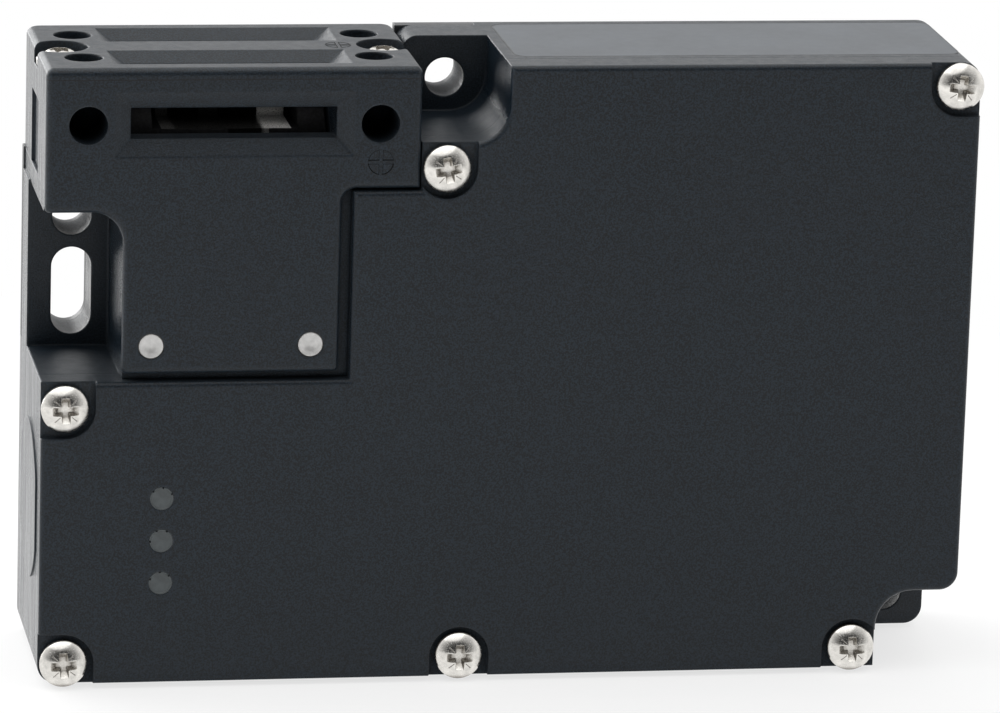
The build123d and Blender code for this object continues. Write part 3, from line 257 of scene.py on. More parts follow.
def solids_of(node):
    """The lowest and highest corner of each solid of a CAD node, from left to right."""
    work = bmesh.new()
    work.from_mesh(frame["nodes"][node].data)
    bmesh.ops.remove_doubles(work, verts=work.verts, dist=1e-6)
    left = set(work.verts)
    boxes = []
    while left:
        queue = [left.pop()]
        low, high = queue[0].co.copy(), queue[0].co.copy()
        while queue:
            vert = queue.pop()
            low = Vector(map(min, low, vert.co))
            high = Vector(map(max, high, vert.co))
            for edge in vert.link_edges:
                other = edge.other_vert(vert)
                if other in left:
                    left.discard(other)
                    queue.append(other)
        boxes.append((low, high))
    work.free()
    return sorted(boxes, key=lambda box: (round(box[0].x, 4), round(box[0].z, 4)))


def lathe(profile, segments):
    """Corners and faces of a profile of (radius, height) points turned about z, closed at both ends."""
    verts, faces, rings = [], [], []
    for radius, height in profile:
        if radius < 1e-9:
            rings.append([len(verts)])
            verts.append((0, 0, height))
            continue
        rings.append(list(range(len(verts), len(verts) + segments)))
        for step in range(segments):
            turn = math.tau * step / segments
            verts.append((radius * math.cos(turn), radius * math.sin(turn), height))
    for upper, lower in zip(rings, rings[1:]):
        for step in range(segments):
            after = (step + 1) % segments
            corners = [upper[step % len(upper)], upper[after % len(upper)]]
            corners += [lower[after % len(lower)], lower[step % len(lower)]]
            corners = list(dict.fromkeys(corners))
            if len(corners) > 2:
                faces.append(corners)
    return verts, faces


def loft(rings):
    """Corners and faces between rings of equally many points, closed by a flat face at both ends."""
    count = len(rings[0])
    verts = [point for ring in rings for point in ring]
    faces = [list(range(count)), list(range((len(rings) - 1) * count, len(rings) * count))[::-1]]
    for level in range(len(rings) - 1):
        base = level * count
        for step in range(count):
            after = (step + 1) % count
            faces.append([base + step, base + after, base + count + after, base + count + step])
    return verts, faces


def cut(mesh, cutters, bevel=0.04 * MM):
    """The mesh with each cutter (corners and faces) taken out of it, and its sharp edges broken."""
    scene = bpy.context.scene
    target = bpy.data.objects.new("cut_target", mesh)
    scene.collection.objects.link(target)
    tools = []
    for verts, faces in cutters:
        tool = bpy.data.objects.new("cut_tool", closed_mesh("cut_tool", verts, faces))
        scene.collection.objects.link(tool)
        tools.append(tool)
        boolean = target.modifiers.new("cut", "BOOLEAN")
        boolean.operation = "DIFFERENCE"
        boolean.solver = "EXACT"
        boolean.object = tool
    if bevel:
        edge = target.modifiers.new("edge", "BEVEL")
        edge.width = bevel
        edge.segments = 2
        edge.limit_method = "ANGLE"
        edge.angle_limit = math.radians(35)
    bpy.context.view_layer.update()
    evaluated = target.evaluated_get(bpy.context.evaluated_depsgraph_get())
    result = bpy.data.meshes.new_from_object(evaluated)
    for obj in [target, *tools]:
        bpy.data.objects.remove(obj)
    tidy_normals(result)
    return result


def facing(direction, origin, spin=0.0):
    """The matrix that stands a piece's z axis along a direction, turned about it by an angle."""
    turn = direction.to_track_quat("Z", "Y").to_matrix().to_4x4()
    return Matrix.Translation(origin) @ turn @ Matrix.Rotation(spin, 4, "Z")


# Material helpers
class Nodes:
    """A node tree with its coordinates and short names for its common parts."""

    def __init__(self, tree, coordinates):
        self.tree = tree
        self.place = self.node("ShaderNodeTexCoord").outputs[coordinates]

    def node(self, kind, **settings):
        made = self.tree.nodes.new(kind)
        for key, value in settings.items():
            setattr(made, key, value)
        return made

    def join(self, output, socket):
        self.tree.links.new(output, socket)

    def feed(self, socket, value):
        if isinstance(value, bpy.types.NodeSocket):
            self.join(value, socket)
        else:
            socket.default_value = value

    def math(self, operation, first, second=0.0):
        made = self.node("ShaderNodeMath", operation=operation)
        self.feed(made.inputs[0], first)
        self.feed(made.inputs[1], second)
        return made.outputs[0]

    def noise(self, size, detail=2.0, stretch=None):
        made = self.node("ShaderNodeTexNoise")
        made.inputs["Scale"].default_value = 1 / size
        made.inputs["Detail"].default_value = detail
        self.join(self.stretched(stretch) if stretch else self.place, made.inputs["Vector"])
        return made.outputs["Fac"]

    def stretched(self, scale):
        made = self.node("ShaderNodeMapping")
        made.inputs["Scale"].default_value = scale
        self.join(self.place, made.inputs["Vector"])
        return made.outputs["Vector"]

    def ranged(self, value, low, high, new_low, new_high):
        """A value mapped from one range to another, and held inside it."""
        made = self.node("ShaderNodeMapRange")
        names = ("From Min", "From Max", "To Min", "To Max")
        for name, number in zip(names, (low, high, new_low, new_high)):
            made.inputs[name].default_value = number
        self.join(value, made.inputs["Value"])
        return made.outputs["Result"]

    def spread(self, noise, low, high):
        """A noise, which lies mostly between 0.3 and 0.7, spread between two numbers."""
        return self.ranged(noise, 0.3, 0.7, low, high)

    def blend(self, amount, first, second):
        made = self.node("ShaderNodeMix", data_type="RGBA")
        self.feed(made.inputs[0], amount)
        for socket, value in ((made.inputs[6], first), (made.inputs[7], second)):
            self.feed(socket, value if isinstance(value, bpy.types.NodeSocket) else (*value, 1))
        return made.outputs[2]

    def axes(self, vector=None):
        """The x, y and z of a vector, or of the place."""
        made = self.node("ShaderNodeSeparateXYZ")
        self.join(vector or self.place, made.inputs[0])
        return made.outputs

    def mix_shaders(self, amount, first, second):
        made = self.node("ShaderNodeMixShader")
        for socket, value in zip(made.inputs, (amount, first, second)):
            self.join(value, socket)
        return made.outputs[0]


class Finish(Nodes):
    """A node material with object coordinates in metres, built round one plain shader."""

    def __init__(self, name):
        self.material = bpy.data.materials.new(name)
        self.material.use_nodes = True
        super().__init__(self.material.node_tree, "Object")
        self.shader = self.tree.nodes["Principled BSDF"]

    def shade(self, value, spread):
        """A darker and a lighter colour on either side of one."""
        dark = tuple(channel * (1 - spread) for channel in value)
        light = tuple(min(1, channel * (1 + spread)) for channel in value)
        return dark, light

    def bump(self, height, depth, strength=1.0, normal=None):
        made = self.node("ShaderNodeBump")
        made.inputs["Strength"].default_value = strength
        made.inputs["Distance"].default_value = depth
        self.join(height, made.inputs["Height"])
        if normal:
            self.join(normal, made.inputs["Normal"])
        return made.outputs["Normal"]

    def soft_edge(self, radius):
        """The normal with its edges rounded, and how near a point is to such an edge."""
        rounded = self.node("ShaderNodeBevel", samples=6)
        rounded.inputs["Radius"].default_value = radius
        flat = self.node("ShaderNodeNewGeometry")
        dot = self.node("ShaderNodeVectorMath", operation="DOT_PRODUCT")
        self.join(rounded.outputs["Normal"], dot.inputs[0])
        self.join(flat.outputs["Normal"], dot.inputs[1])
        near = self.ranged(dot.outputs["Value"], 0.99, 0.75, 0.0, 1.0)
        return rounded.outputs["Normal"], near

    def cover(self, distance, low, high):
        """How open a point lies: 0 in a hollow and 1 in the open."""
        made = self.node("ShaderNodeAmbientOcclusion", samples=6)
        made.inputs["Distance"].default_value = distance
        return self.ranged(made.outputs["AO"], low, high, 0.0, 1.0)

    def mix(self, amount, first, second):
        """A number between two others."""
        made = self.node("ShaderNodeMix")
        for socket, value in zip(made.inputs[:1] + made.inputs[2:4], (amount, first, second)):
            self.feed(socket, value)
        return made.outputs[0]

    def so_far(self, name):
        """What feeds one of the shader's sockets until now."""
        return self.shader.inputs[name].links[0].from_socket

    def paint(self, amount, tone):
        """Lay a tone over the base colour so far."""
        self.surface(base_color=self.blend(amount, self.so_far("Base Color"), tone))

    def emboss(self, height, depth, strength):
        """Add a finer relief to the one so far."""
        self.surface(normal=self.bump(height, depth, strength, self.so_far("Normal")))

    def surface(self, **values):
        """Values for the shader's sockets, by their names in lower case."""
        names = {socket.name.lower().replace(" ", "_"): socket for socket in self.shader.inputs}
        for name, value in values.items():
            self.feed(names[name], (*value, 1) if isinstance(value, tuple) and len(value) == 3 else value)
        return self


def grained_plastic(
    name, base, roughness, specular, grain, height, edge=0.0, worn_edge_highlight=None, speckle=0.8, vary=0.035
):
    """Moulded plastic: a fine grain, slight clouds of tone, and edges that are softened and lightened, partly
    wear and partly painted highlight.
    """
    finish = Finish(name)
    dark, light = finish.shade(base, 0.12)
    clouds = finish.spread(finish.noise(9 * MM, detail=3), 0.0, 1.0)
    tone = finish.blend(clouds, dark, light)
    grains = finish.noise(grain, detail=1.5)
    fine = finish.ranged(grains, 0.38, 0.66, 0.0, speckle)
    tone = finish.blend(fine, tone, tuple(min(1, 5 * channel) for channel in base))
    normal = None
    if edge:
        normal, near = finish.soft_edge(edge)
        # Painted highlight and wear: points near a softened edge take a lighter colour, in patches.
        rubbed_and_lit = finish.math("MULTIPLY", near, finish.ranged(finish.noise(2.2 * MM), 0.35, 0.65, 0.15, 0.75))
        tone = finish.blend(rubbed_and_lit, tone, worn_edge_highlight or light)
    relief = finish.bump(grains, height, 0.8, normal)
    rough = finish.spread(finish.noise(1.6 * MM, detail=3), roughness - vary, roughness + vary)
    finish.surface(base_color=tone, roughness=rough, specular_ior_level=specular, normal=relief)
    return finish


def plated_metal(
    name, base, roughness, scratch=0.0022 * MM, direction=(1, 1, 1), metallic=1.0, hollow=1.3 * MM
):
    """Metal with clouds of tone, fine scratches, a soft variation of its gloss, and painted shade in its
    hollows, where it is also less metallic.
    """
    finish = Finish(name)
    dark, light = finish.shade(base, 0.14)
    clouds = finish.spread(finish.noise(1.1 * MM, detail=4), 0.0, 1.0)
    tone = finish.blend(clouds, dark, light)
    # Painted shade: hollows found by ambient occlusion take a darker brown-grey colour and are less metallic.
    open_air = finish.cover(hollow, 0.30, 0.80)
    hollow_shade = tuple(share * channel for share, channel in zip((0.30, 0.27, 0.235), base))
    tone = finish.blend(open_air, hollow_shade, tone)
    lines = finish.noise(0.16 * MM, detail=4, stretch=direction)
    rough = finish.spread(lines, max(0.03, roughness - 0.07), roughness + 0.10)
    normal = finish.soft_edge(0.06 * MM)[0]
    relief = finish.bump(lines, scratch, 0.6, normal)
    shine = finish.ranged(open_air, 0.0, 1.0, 0.3 * metallic, metallic)
    finish.surface(base_color=tone, roughness=rough, metallic=shine, normal=relief)
    return finish


def wear_all(nodes, finish):
    """Give CAD nodes their common finish."""
    for node in nodes:
        slots = frame["nodes"][node].data.materials
        slots.clear()
        slots.append(finish.material)


# Finishes
def housing_finish(scene):
    """The housing's grained plastic, smoother and streaked on the faces that look left and right."""
    look = scene.interlock_plastic
    finish = grained_plastic(
        "anthracite_plastic", tuple(look.housing), look.roughness, look.specular,
        look.grain, look.grain_height, look.edge, tuple(look.worn_edge_highlight),
    )
    normal = finish.axes(finish.place.node.outputs["Normal"])
    sideways = finish.ranged(finish.math("ABSOLUTE", normal["X"]), 0.85, 0.95, 0.0, 1.0)
    streaks = finish.noise(0.9 * MM, detail=3, stretch=(1, 1, 0.05))
    smooth = finish.spread(streaks, look.side_roughness - 0.08, look.side_roughness + 0.08)
    finish.surface(roughness=finish.mix(sideways, finish.so_far("Roughness"), smooth))
    roughen_hollows(finish, look.bore_roughness)
    return finish


def roughen_hollows(finish, roughness):
    """Make the insides of holes and slots rougher than the open faces."""
    open_air = finish.cover(6 * MM, 0.35, 0.60)
    finish.surface(roughness=finish.mix(open_air, roughness, finish.so_far("Roughness")))


def head_finish(scene):
    """The housing's plastic with the fine mould line that runs below the head's top face."""
    finish = housing_finish(scene)
    finish.material.name = "head_plastic"
    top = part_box("head_housing")[1].z - scene.interlock_marks.seam_drop
    near = finish.math("ABSOLUTE", finish.math("SUBTRACT", finish.axes()["Z"], top))
    line = finish.ranged(near, 0.05 * MM, 0.12 * MM, 1.0, 0.0)
    finish.paint(finish.math("MULTIPLY", line, 0.85), (0.004, 0.004, 0.005))
    return finish


def pin_finish(scene):
    """Turned metal with fine rings about the pin's own axis."""
    finish = plated_metal("turned_pin", tuple(scene.interlock_metal.pin), 0.42, metallic=0.85)
    rings = finish.node("ShaderNodeTexWave", wave_type="RINGS", rings_direction="Z")
    rings.inputs["Scale"].default_value = 1600
    rings.inputs["Distortion"].default_value = 1.5
    finish.join(finish.place, rings.inputs["Vector"])
    finish.emboss(rings.outputs["Fac"], 0.006 * MM, 0.7)
    return finish


def driver_finish(scene):
    """Dark steel, with a painted highlight on its right tab and a faint one on its left, stronger towards the
    bottom.
    """
    steel = tuple(scene.interlock_metal.steel)
    dark = tuple(0.04 * channel for channel in steel)
    finish = plated_metal("driver_steel", dark, 0.30, metallic=0.6, hollow=0.3 * MM)
    along = finish.axes()
    low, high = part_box("front_insert")
    bright = finish.ranged(along["X"], high.x - 4.2 * MM, high.x - 3.6 * MM, 0.0, 1.0)
    faint = finish.ranged(along["X"], low.x + 2.0 * MM, low.x + 1.6 * MM, 0.0, 0.1)
    middle = (low.z + high.z) / 2
    lower = finish.ranged(along["Z"], middle - 0.4 * MM, middle + 0.4 * MM, 1.0, 0.3)
    # Painted highlight: the right tab, and faintly the left one, are lighter, more so lower down.
    painted_highlight = finish.math("MULTIPLY", finish.math("MAXIMUM", bright, faint), lower)
    finish.paint(painted_highlight, tuple(1.6 * channel for channel in steel))
    return finish


def winding_finish(scene):
    """Enamelled wire in close turns along the coil."""
    finish = plated_metal("copper_winding", tuple(scene.interlock_metal.copper), 0.28)
    turns = finish.node("ShaderNodeTexWave", wave_type="BANDS", bands_direction="X")
    turns.inputs["Scale"].default_value = 800
    turns.inputs["Distortion"].default_value = 0.3
    finish.join(finish.place, turns.inputs["Vector"])
    finish.emboss(turns.outputs["Fac"], 0.15 * MM, 0.9)
    return finish


def board_finish(scene):
    """Green lacquer with slightly lighter tracks under it."""
    look = scene.interlock_plastic
    finish = grained_plastic("board_lacquer", tuple(look.board), 0.32, 0.5, 0.5 * MM, 0.004 * MM)
    tracks = finish.node("ShaderNodeTexBrick")
    tracks.inputs["Scale"].default_value = 260
    tracks.inputs["Mortar Size"].default_value = 0.035
    for name, grey in (("Color1", 0), ("Color2", 0), ("Mortar", 1)):
        tracks.inputs[name].default_value = (grey, grey, grey, 1)
    turned = finish.node("ShaderNodeMapping")
    turned.inputs["Rotation"].default_value = (math.radians(90), 0, 0)
    finish.join(finish.place, turned.inputs["Vector"])
    finish.join(turned.outputs["Vector"], tracks.inputs["Vector"])
    amount = finish.math("MULTIPLY", tracks.outputs["Color"], 0.8)
    finish.paint(amount, tuple(1.8 * channel for channel in look.board))
    return finish


def window_finish(scene):
    """Smoked, milky plastic with soft clouds under a glossy face, and a painted highlight on its rim's edges.
    """
    look = scene.interlock_plastic
    # The lighter edge colour, 1.7 times the window's, is a painted highlight on the rim.
    finish = grained_plastic(
        "smoked_window", tuple(look.window), 0.30, 0.5, 0.4 * MM, 0.001 * MM, 0.08 * MM,
        tuple(1.7 * channel for channel in look.window), speckle=0.04, vary=0.02,
    )
    clouds = finish.ranged(finish.noise(1.4 * MM, detail=1), 0.42, 0.68, 0.0, 0.6)
    finish.paint(clouds, tuple(1.6 * channel for channel in look.window))
    finish.surface(coat_weight=0.2)
    return finish


def led_finish():
    """Clear resin."""
    finish = grained_plastic("clear_lamp", (0.55, 0.55, 0.50), 0.10, 0.5, 0.3 * MM, 0.002 * MM)
    finish.surface(transmission_weight=0.6)
    return finish


class InterlockOperator(bpy.types.Operator):
    """What the steps share"""

    bl_options = {"REGISTER", "UNDO"}


class INTERLOCK_OT_housing(InterlockOperator):
    """Give the base, cover, head, rear plate, seals and label plate their finishes"""

    bl_idname = "interlock.housing"
    bl_label = "Housing finishes"

    def execute(self, context):
        scene = context.scene
        look = scene.interlock_plastic
        wear_all(("base_housing", "front_cover"), housing_finish(scene))
        wear_all(("head_housing",), head_finish(scene))
        plate = grained_plastic(
            "plate_coating", tuple(scene.interlock_metal.plate), 0.42, 0.45, 0.4 * MM, 0.012 * MM, look.edge,
            speckle=0.06,
        )
        roughen_hollows(plate, look.bore_roughness)
        wear_all(("rear_plate",), plate)
        rubber = grained_plastic("seal_rubber", tuple(look.rubber), 0.72, 0.3, 0.2 * MM, 0.01 * MM)
        wear_all(("cover_gasket", "plunger_seal", "lock_seal"), rubber)
        label = grained_plastic(
            "label_sheet", tuple(look.label), 0.40, 0.30, 0.6 * MM, 0.001 * MM, 0.1 * MM,
            speckle=0.02, vary=0.01,
        )
        wear_all(("label_plate",), label)
        return {"FINISHED"}


def thread(radius, depth, pitch, top, bottom):
    """Profile points down a threaded shank, whose crests lie on the radius."""
    points = [(radius, top)]
    height = top
    while height - pitch > bottom + pitch:
        points += [(radius, height - 0.15 * pitch), (radius - depth, height - 0.5 * pitch)]
        points += [(radius, height - 0.85 * pitch)]
        height -= pitch
    return points + [(radius, bottom + depth), (radius - depth, bottom), (0, bottom)]


def cross_outline(half_span, half_width, height):
    """The twelve corners of a cross at one height."""
    a, b = half_span, half_width
    corners = [(a, -b), (a, b), (b, b), (b, a), (-b, a), (-b, b), (-a, b), (-a, -b)]
    corners += [(-b, -b), (-b, -a), (b, -a), (b, -b)]
    return [(x, y, height) for x, y in corners]


def dome_drop(ball, radius):
    """How far a dome of the given ball radius has fallen at a radius from its middle."""
    return ball - math.sqrt(ball ** 2 - radius ** 2) if ball else 0.0


def cross_cutters(screws, top, ball=0.0):
    """The tapered cross recess, the square at its middle and the four fine marks between its wings."""
    half = screws.wing_span / 2
    width = screws.wing_width / 2
    floor = top - screws.recess_depth
    above = top + 0.3 * MM
    cross = loft([
        cross_outline(0.52 * half, 0.62 * width, floor),
        cross_outline(half, width, top - 0.25 * MM),
        cross_outline(1.06 * half, 1.05 * width, above),
    ])
    square = []
    for size, height in ((0.9 * width, floor + 0.2 * MM), (1.75 * width, above)):
        turns = [math.tau * (corner + 0.5) / 4 for corner in range(4)]
        square.append([(size * math.cos(turn), size * math.sin(turn), height) for turn in turns])
    cutters = [cross, loft(square)]
    stations = [screws.tick_start + screws.tick * step / 6 for step in range(7)]
    mark_depth, half_mark = 0.11 * MM, 0.055 * MM
    profile = [(radius, top - dome_drop(ball, radius) - mark_depth) for radius in stations]
    profile += [(stations[-1], above), (stations[0], above)]
    for quarter in range(4):
        turn = Matrix.Rotation(math.tau * (quarter + 0.5) / 4, 3, "Z")
        sides = (half_mark, -half_mark)
        cutters.append(loft([[tuple(turn @ Vector((x, side, z))) for x, z in profile] for side in sides]))
    return cutters


def lobe_cutter(screws, top):
    """The six-lobe recess."""
    rings = []
    middle = 0.87 * screws.lobe_radius
    tip, floor = top - 1.25 * screws.lobe_depth, top - screws.lobe_depth
    for share, height in ((0.05, tip), (1.0, floor), (1.0, top + MM)):
        ring = []
        for step in range(screws.segments):
            turn = math.tau * step / screws.segments
            radius = share * (middle + (screws.lobe_radius - middle) * math.cos(6 * turn))
            ring.append((radius * math.cos(turn), radius * math.sin(turn), height))
        rings.append(ring)
    return loft(rings)


def ball_radius(radius, drop):
    """Radius of the ball whose cap has the given radius and height."""
    return (radius ** 2 + drop ** 2) / (2 * drop)


def pan_head(radius, height):
    """Profile points of a domed head down to its seat, and the radius of the dome's ball."""
    ball = ball_radius(radius, DOME_SHARE * height)
    points = [(0, height)]
    for step in range(1, DOME_STEPS + 1):
        across = radius * step / DOME_STEPS
        points.append((across, height - dome_drop(ball, across)))
    return points + [(radius, RIM_SHARE * height), (radius - RIM_BREAK, 0)], ball


def shrunk(cutters, share, lift=0.0):
    """Cutters made smaller about the middle and moved up."""
    small = Matrix.Scale(share, 3)
    move = Vector((0, 0, lift))
    return [([tuple(small @ Vector(vert) + move) for vert in verts], faces) for verts, faces in cutters]


def screw_mesh(name, screws, profile, cutters):
    return cut(closed_mesh(name, *lathe(profile, screws.segments)), cutters)


def set_screws(node, mesh, material, direction, seat, spins):
    """Put one screw in place of each solid of a CAD node, and hide the node."""
    for number, (low, high) in enumerate(solids_of(node)):
        middle = (low + high) / 2
        origin = Vector([seat(low, high) if direction[axis] else middle[axis] for axis in range(3)])
        spin = math.radians(spins[number % len(spins)])
        name = f"{node.rstrip('s')}_{number + 1}"
        body = frame["nodes"][node]["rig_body"]
        place(name, mesh, material, body, facing(direction, origin, spin))
    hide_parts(node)


class INTERLOCK_OT_cover_screws(InterlockOperator):
    """Build the six domed cover screws with cross recesses"""

    bl_idname = "interlock.cover_screws"
    bl_label = "Cover screws"

    def execute(self, context):
        screws = context.scene.interlock_screws
        low, high = solids_of("cover_screws")[0]
        profile, ball = pan_head((high.x - low.x) / 2, PAN_HEIGHT)
        bottom = PAN_HEIGHT - (high.y - low.y)
        profile += thread(COVER_SHANK, screws.thread_depth, screws.thread_pitch, 0, bottom)
        mesh = screw_mesh("cover_screw", screws, profile, cross_cutters(screws, PAN_HEIGHT, ball))
        nickel = nickel_finish(context.scene)
        spins = (2, 4, 10, 0, 1, -6)
        set_screws("cover_screws", mesh, nickel, FRONT, lambda low, high: low.y + PAN_HEIGHT, spins)
        return {"FINISHED"}


class INTERLOCK_OT_head_screws(InterlockOperator):
    """Build the two head screws with six-lobe recesses"""

    bl_idname = "interlock.head_screws"
    bl_label = "Head screws"

    def execute(self, context):
        screws = context.scene.interlock_screws
        low, high = solids_of("head_screws")[0]
        profile = pan_head((high.x - low.x) / 2, PAN_HEIGHT)[0]
        bottom = PAN_HEIGHT - (high.z - low.z)
        profile += thread(HEAD_SHANK, screws.thread_depth, screws.thread_pitch, 0, bottom)
        mesh = screw_mesh("head_screw", screws, profile, [lobe_cutter(screws, PAN_HEIGHT)])
        nickel = nickel_finish(context.scene)
        set_screws("head_screws", mesh, nickel, UP, lambda low, high: high.z - PAN_HEIGHT, (10, -17))
        return {"FINISHED"}


class INTERLOCK_OT_rear_screws(InterlockOperator):
    """Build the three countersunk screws of the rear plate"""

    bl_idname = "interlock.rear_screws"
    bl_label = "Rear plate screws"

    def execute(self, context):
        screws = context.scene.interlock_screws
        low, high = solids_of("plate_screws")[0]
        radius, edge = (high.x - low.x) / 2, 0.08 * MM
        depth, pitch = 0.6 * screws.thread_depth, 0.6 * screws.thread_pitch
        profile = [(0, 0), (radius - edge, 0), (radius, -edge), (PLATE_SHANK, -COUNTERSINK)]
        profile += thread(PLATE_SHANK, depth, pitch, -COUNTERSINK, low.y - high.y)
        mesh = screw_mesh("plate_screw", screws, profile, shrunk(cross_cutters(screws, 0), SMALL_CROSS))
        nickel = nickel_finish(context.scene)
        set_screws("plate_screws", mesh, nickel, REAR, lambda low, high: high.y, (20, -35, 5))
        return {"FINISHED"}


def nickel_finish(scene):
    """The screws' bright plating, made once."""
    found = bpy.data.materials.get("bright_nickel")
    if found:
        return found
    metal = scene.interlock_metal
    return plated_metal("bright_nickel", tuple(metal.nickel), metal.nickel_roughness).material


class INTERLOCK_OT_pins(InterlockOperator):
    """Build the two flush pins in the head's apron"""

    bl_idname = "interlock.pins"
    bl_label = "Head pins"

    def execute(self, context):
        screws = context.scene.interlock_screws
        low, high = solids_of("head_pins")[0]
        radius, reach, edge, dimple = (high.x - low.x) / 2, high.y - low.y, 0.16 * MM, 0.05 * MM
        profile = [(0, -dimple), (0.35 * radius, -dimple), (0.42 * radius, 0)]
        profile += [(radius - edge, 0), (radius, -edge)]
        profile += [(radius, -reach + edge), (radius - edge, -reach), (0, -reach)]
        mesh = closed_mesh("head_pin", *lathe(profile, screws.segments))
        finish = pin_finish(context.scene)
        set_screws("head_pins", mesh, finish.material, FRONT, lambda low, high: low.y, (0, 40))
        return {"FINISHED"}


class INTERLOCK_OT_windows(InterlockOperator):
    """Build the three indicator windows, each with a raised rim and small notches"""

    bl_idname = "interlock.windows"
    bl_label = "Indicator windows"
    radius = 1.65 * MM

    def execute(self, context):
        scene = context.scene
        finish = window_finish(scene)
        notches = ((93, 42, 158), (114, 60, 184), (83, 139, 25))
        for number, (low, high) in enumerate(solids_of("indicator_lenses")):
            name = f"indicator_window_{number + 1}"
            body = self.window((high.x - low.x) / 2, high.y - low.y, scene.interlock_screws.segments)
            cutters = [self.notch(degrees) for degrees in notches[number % len(notches)]]
            mesh = cut(closed_mesh(name, *body), cutters, 0)
            origin = Vector(((low.x + high.x) / 2, low.y, (low.z + high.z) / 2))
            place(name, mesh, finish.material, "housing", facing(FRONT, origin))
        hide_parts("indicator_lenses")
        return {"FINISHED"}

    def window(self, collar, length, segments):
        """A dished face with a raised rim, a collar behind the cover's wall and a tail."""
        radius, tail, edge = self.radius, 1.5 * MM, 0.05 * MM
        skin, step = 2.4 * MM, 0.8 * MM
        profile = [(0, -0.10 * MM), (0.55 * radius, -0.11 * MM), (0.84 * radius, -0.09 * MM)]
        profile += [(0.90 * radius, 0), (radius - edge, 0), (radius, -edge), (radius, -skin)]
        profile += [(collar, -skin), (collar, -skin - step), (tail, -skin - step)]
        profile += [(tail, -length), (0, -length)]
        return lathe(profile, segments)

    def notch(self, degrees):
        """The cutter of one small notch in the rim."""
        turn = Matrix.Rotation(math.radians(degrees), 3, "Z")
        inner, outer, side = 0.86 * self.radius, 1.1 * self.radius, 0.13 * MM
        ring = [(inner, -side), (outer, -side), (outer, side), (inner, side)]
        return loft([[tuple(turn @ Vector((x, y, z))) for x, y in ring] for z in (-0.5 * MM, 0.2 * MM)])


def raised(shapes, height):
    """Corners and faces of flat shapes (corners and quads) made into thin solids."""
    verts, faces = [], []
    for points, quads in shapes:
        base, count = len(verts), len(points)
        verts += [(x, y, 0) for x, y in points] + [(x, y, height) for x, y in points]
        edges = {}
        for quad in quads:
            faces.append([base + i for i in quad][::-1])
            faces.append([base + count + i for i in quad])
            for pair in zip(quad, quad[1:] + quad[:1]):
                key = tuple(sorted(pair))
                edges[key] = None if key in edges else pair
        for pair in filter(None, edges.values()):
            a, b = pair
            faces.append([base + a, base + b, base + count + b, base + count + a])
    return verts, faces


def ring_quads(count):
    """Quads between an outer ring of corners and an inner one of as many."""
    return [[i, (i + 1) % count, count + (i + 1) % count, count + i] for i in range(count)]


class INTERLOCK_OT_index_marks(InterlockOperator):
    """Build the two round index marks on the head's front and top"""

    bl_idname = "interlock.index_marks"
    bl_label = "Index marks"
    arc_steps = 12

    def execute(self, context):
        scene = context.scene
        marks = scene.interlock_marks
        # Painted shade: the marks are thin lines darker than the housing; the top mark and the front's lower
        # edges take the dark shadow finish, and the front's other outlines a faint darker one.
        plastic = tuple(0.7 * channel for channel in scene.interlock_plastic.housing)
        dark = grained_plastic("mark_shadow", (0.0012, 0.0012, 0.0014), 0.6, 0.08, 0.2 * MM, 0.004 * MM)
        faint = grained_plastic("mark_edge", plastic, 0.5, 0.24, 0.2 * MM, 0.004 * MM)
        outer, gap = marks.ring_radius, marks.bar / 2
        outline = [self.quarter(outer, gap, marks.line, 90 * number) for number in range(4)]
        low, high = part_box("head_housing")
        front = Vector((high.x - marks.front_inset, low.y, high.z - marks.front_drop))
        top = Vector((high.x - marks.top_inset, (low.y + high.y) / 2, high.z))
        parts = (
            ("index_mark_top", top, UP, outline, marks.relief, dark),
            ("index_mark_front", front, FRONT, outline, 0.8 * marks.relief, faint),
            ("index_mark_shade", front, FRONT, self.shaded_edges(outer, gap, marks.line), marks.relief, dark),
        )
        for name, origin, direction, shapes, relief, finish in parts:
            mesh = closed_mesh(name, *raised(shapes, relief))
            place(name, mesh, finish.material, "housing", facing(direction, origin))
        return {"FINISHED"}

    def shaded_edges(self, outer, gap, line):
        """The lower edges of the four quarters: bars below the upper two, arcs round the lower two."""
        first = math.asin(gap / outer)
        turns = [-turn for turn in self.arc_turns(first)]
        count = len(turns)
        reach = outer * math.cos(first)
        shapes = []
        for side in (-1, 1):
            near, far = side * gap, side * reach
            bar = [(near, gap), (far, gap), (far, gap + line), (near, gap + line)]
            arc = [
                (side * radius * math.cos(turn), radius * math.sin(turn))
                for radius in (outer, outer - line) for turn in turns
            ]
            shapes.append((bar, [[0, 1, 2, 3]]))
            shapes.append((arc, [[i, i + 1, count + i + 1, count + i] for i in range(count - 1)]))
        return shapes

    def arc_turns(self, first):
        """The angles of the points along a quarter's arc, which starts after the cross bar."""
        sweep = math.pi / 2 - 2 * first
        return [first + sweep * step / self.arc_steps for step in range(self.arc_steps + 1)]

    def quarter(self, outer, gap, line, start):
        """The outline of one quarter of the disc, beside the cross bars."""
        corners = []
        for inset in (0, line):
            radius, side = outer - inset, gap + inset
            turns = self.arc_turns(math.asin(side / radius))
            corners += [(side, side)] + [(radius * math.cos(turn), radius * math.sin(turn)) for turn in turns]
        across, up = math.cos(math.radians(start)), math.sin(math.radians(start))
        corners = [(x * across - y * up, x * up + y * across) for x, y in corners]
        return corners, ring_quads(len(corners) // 2)


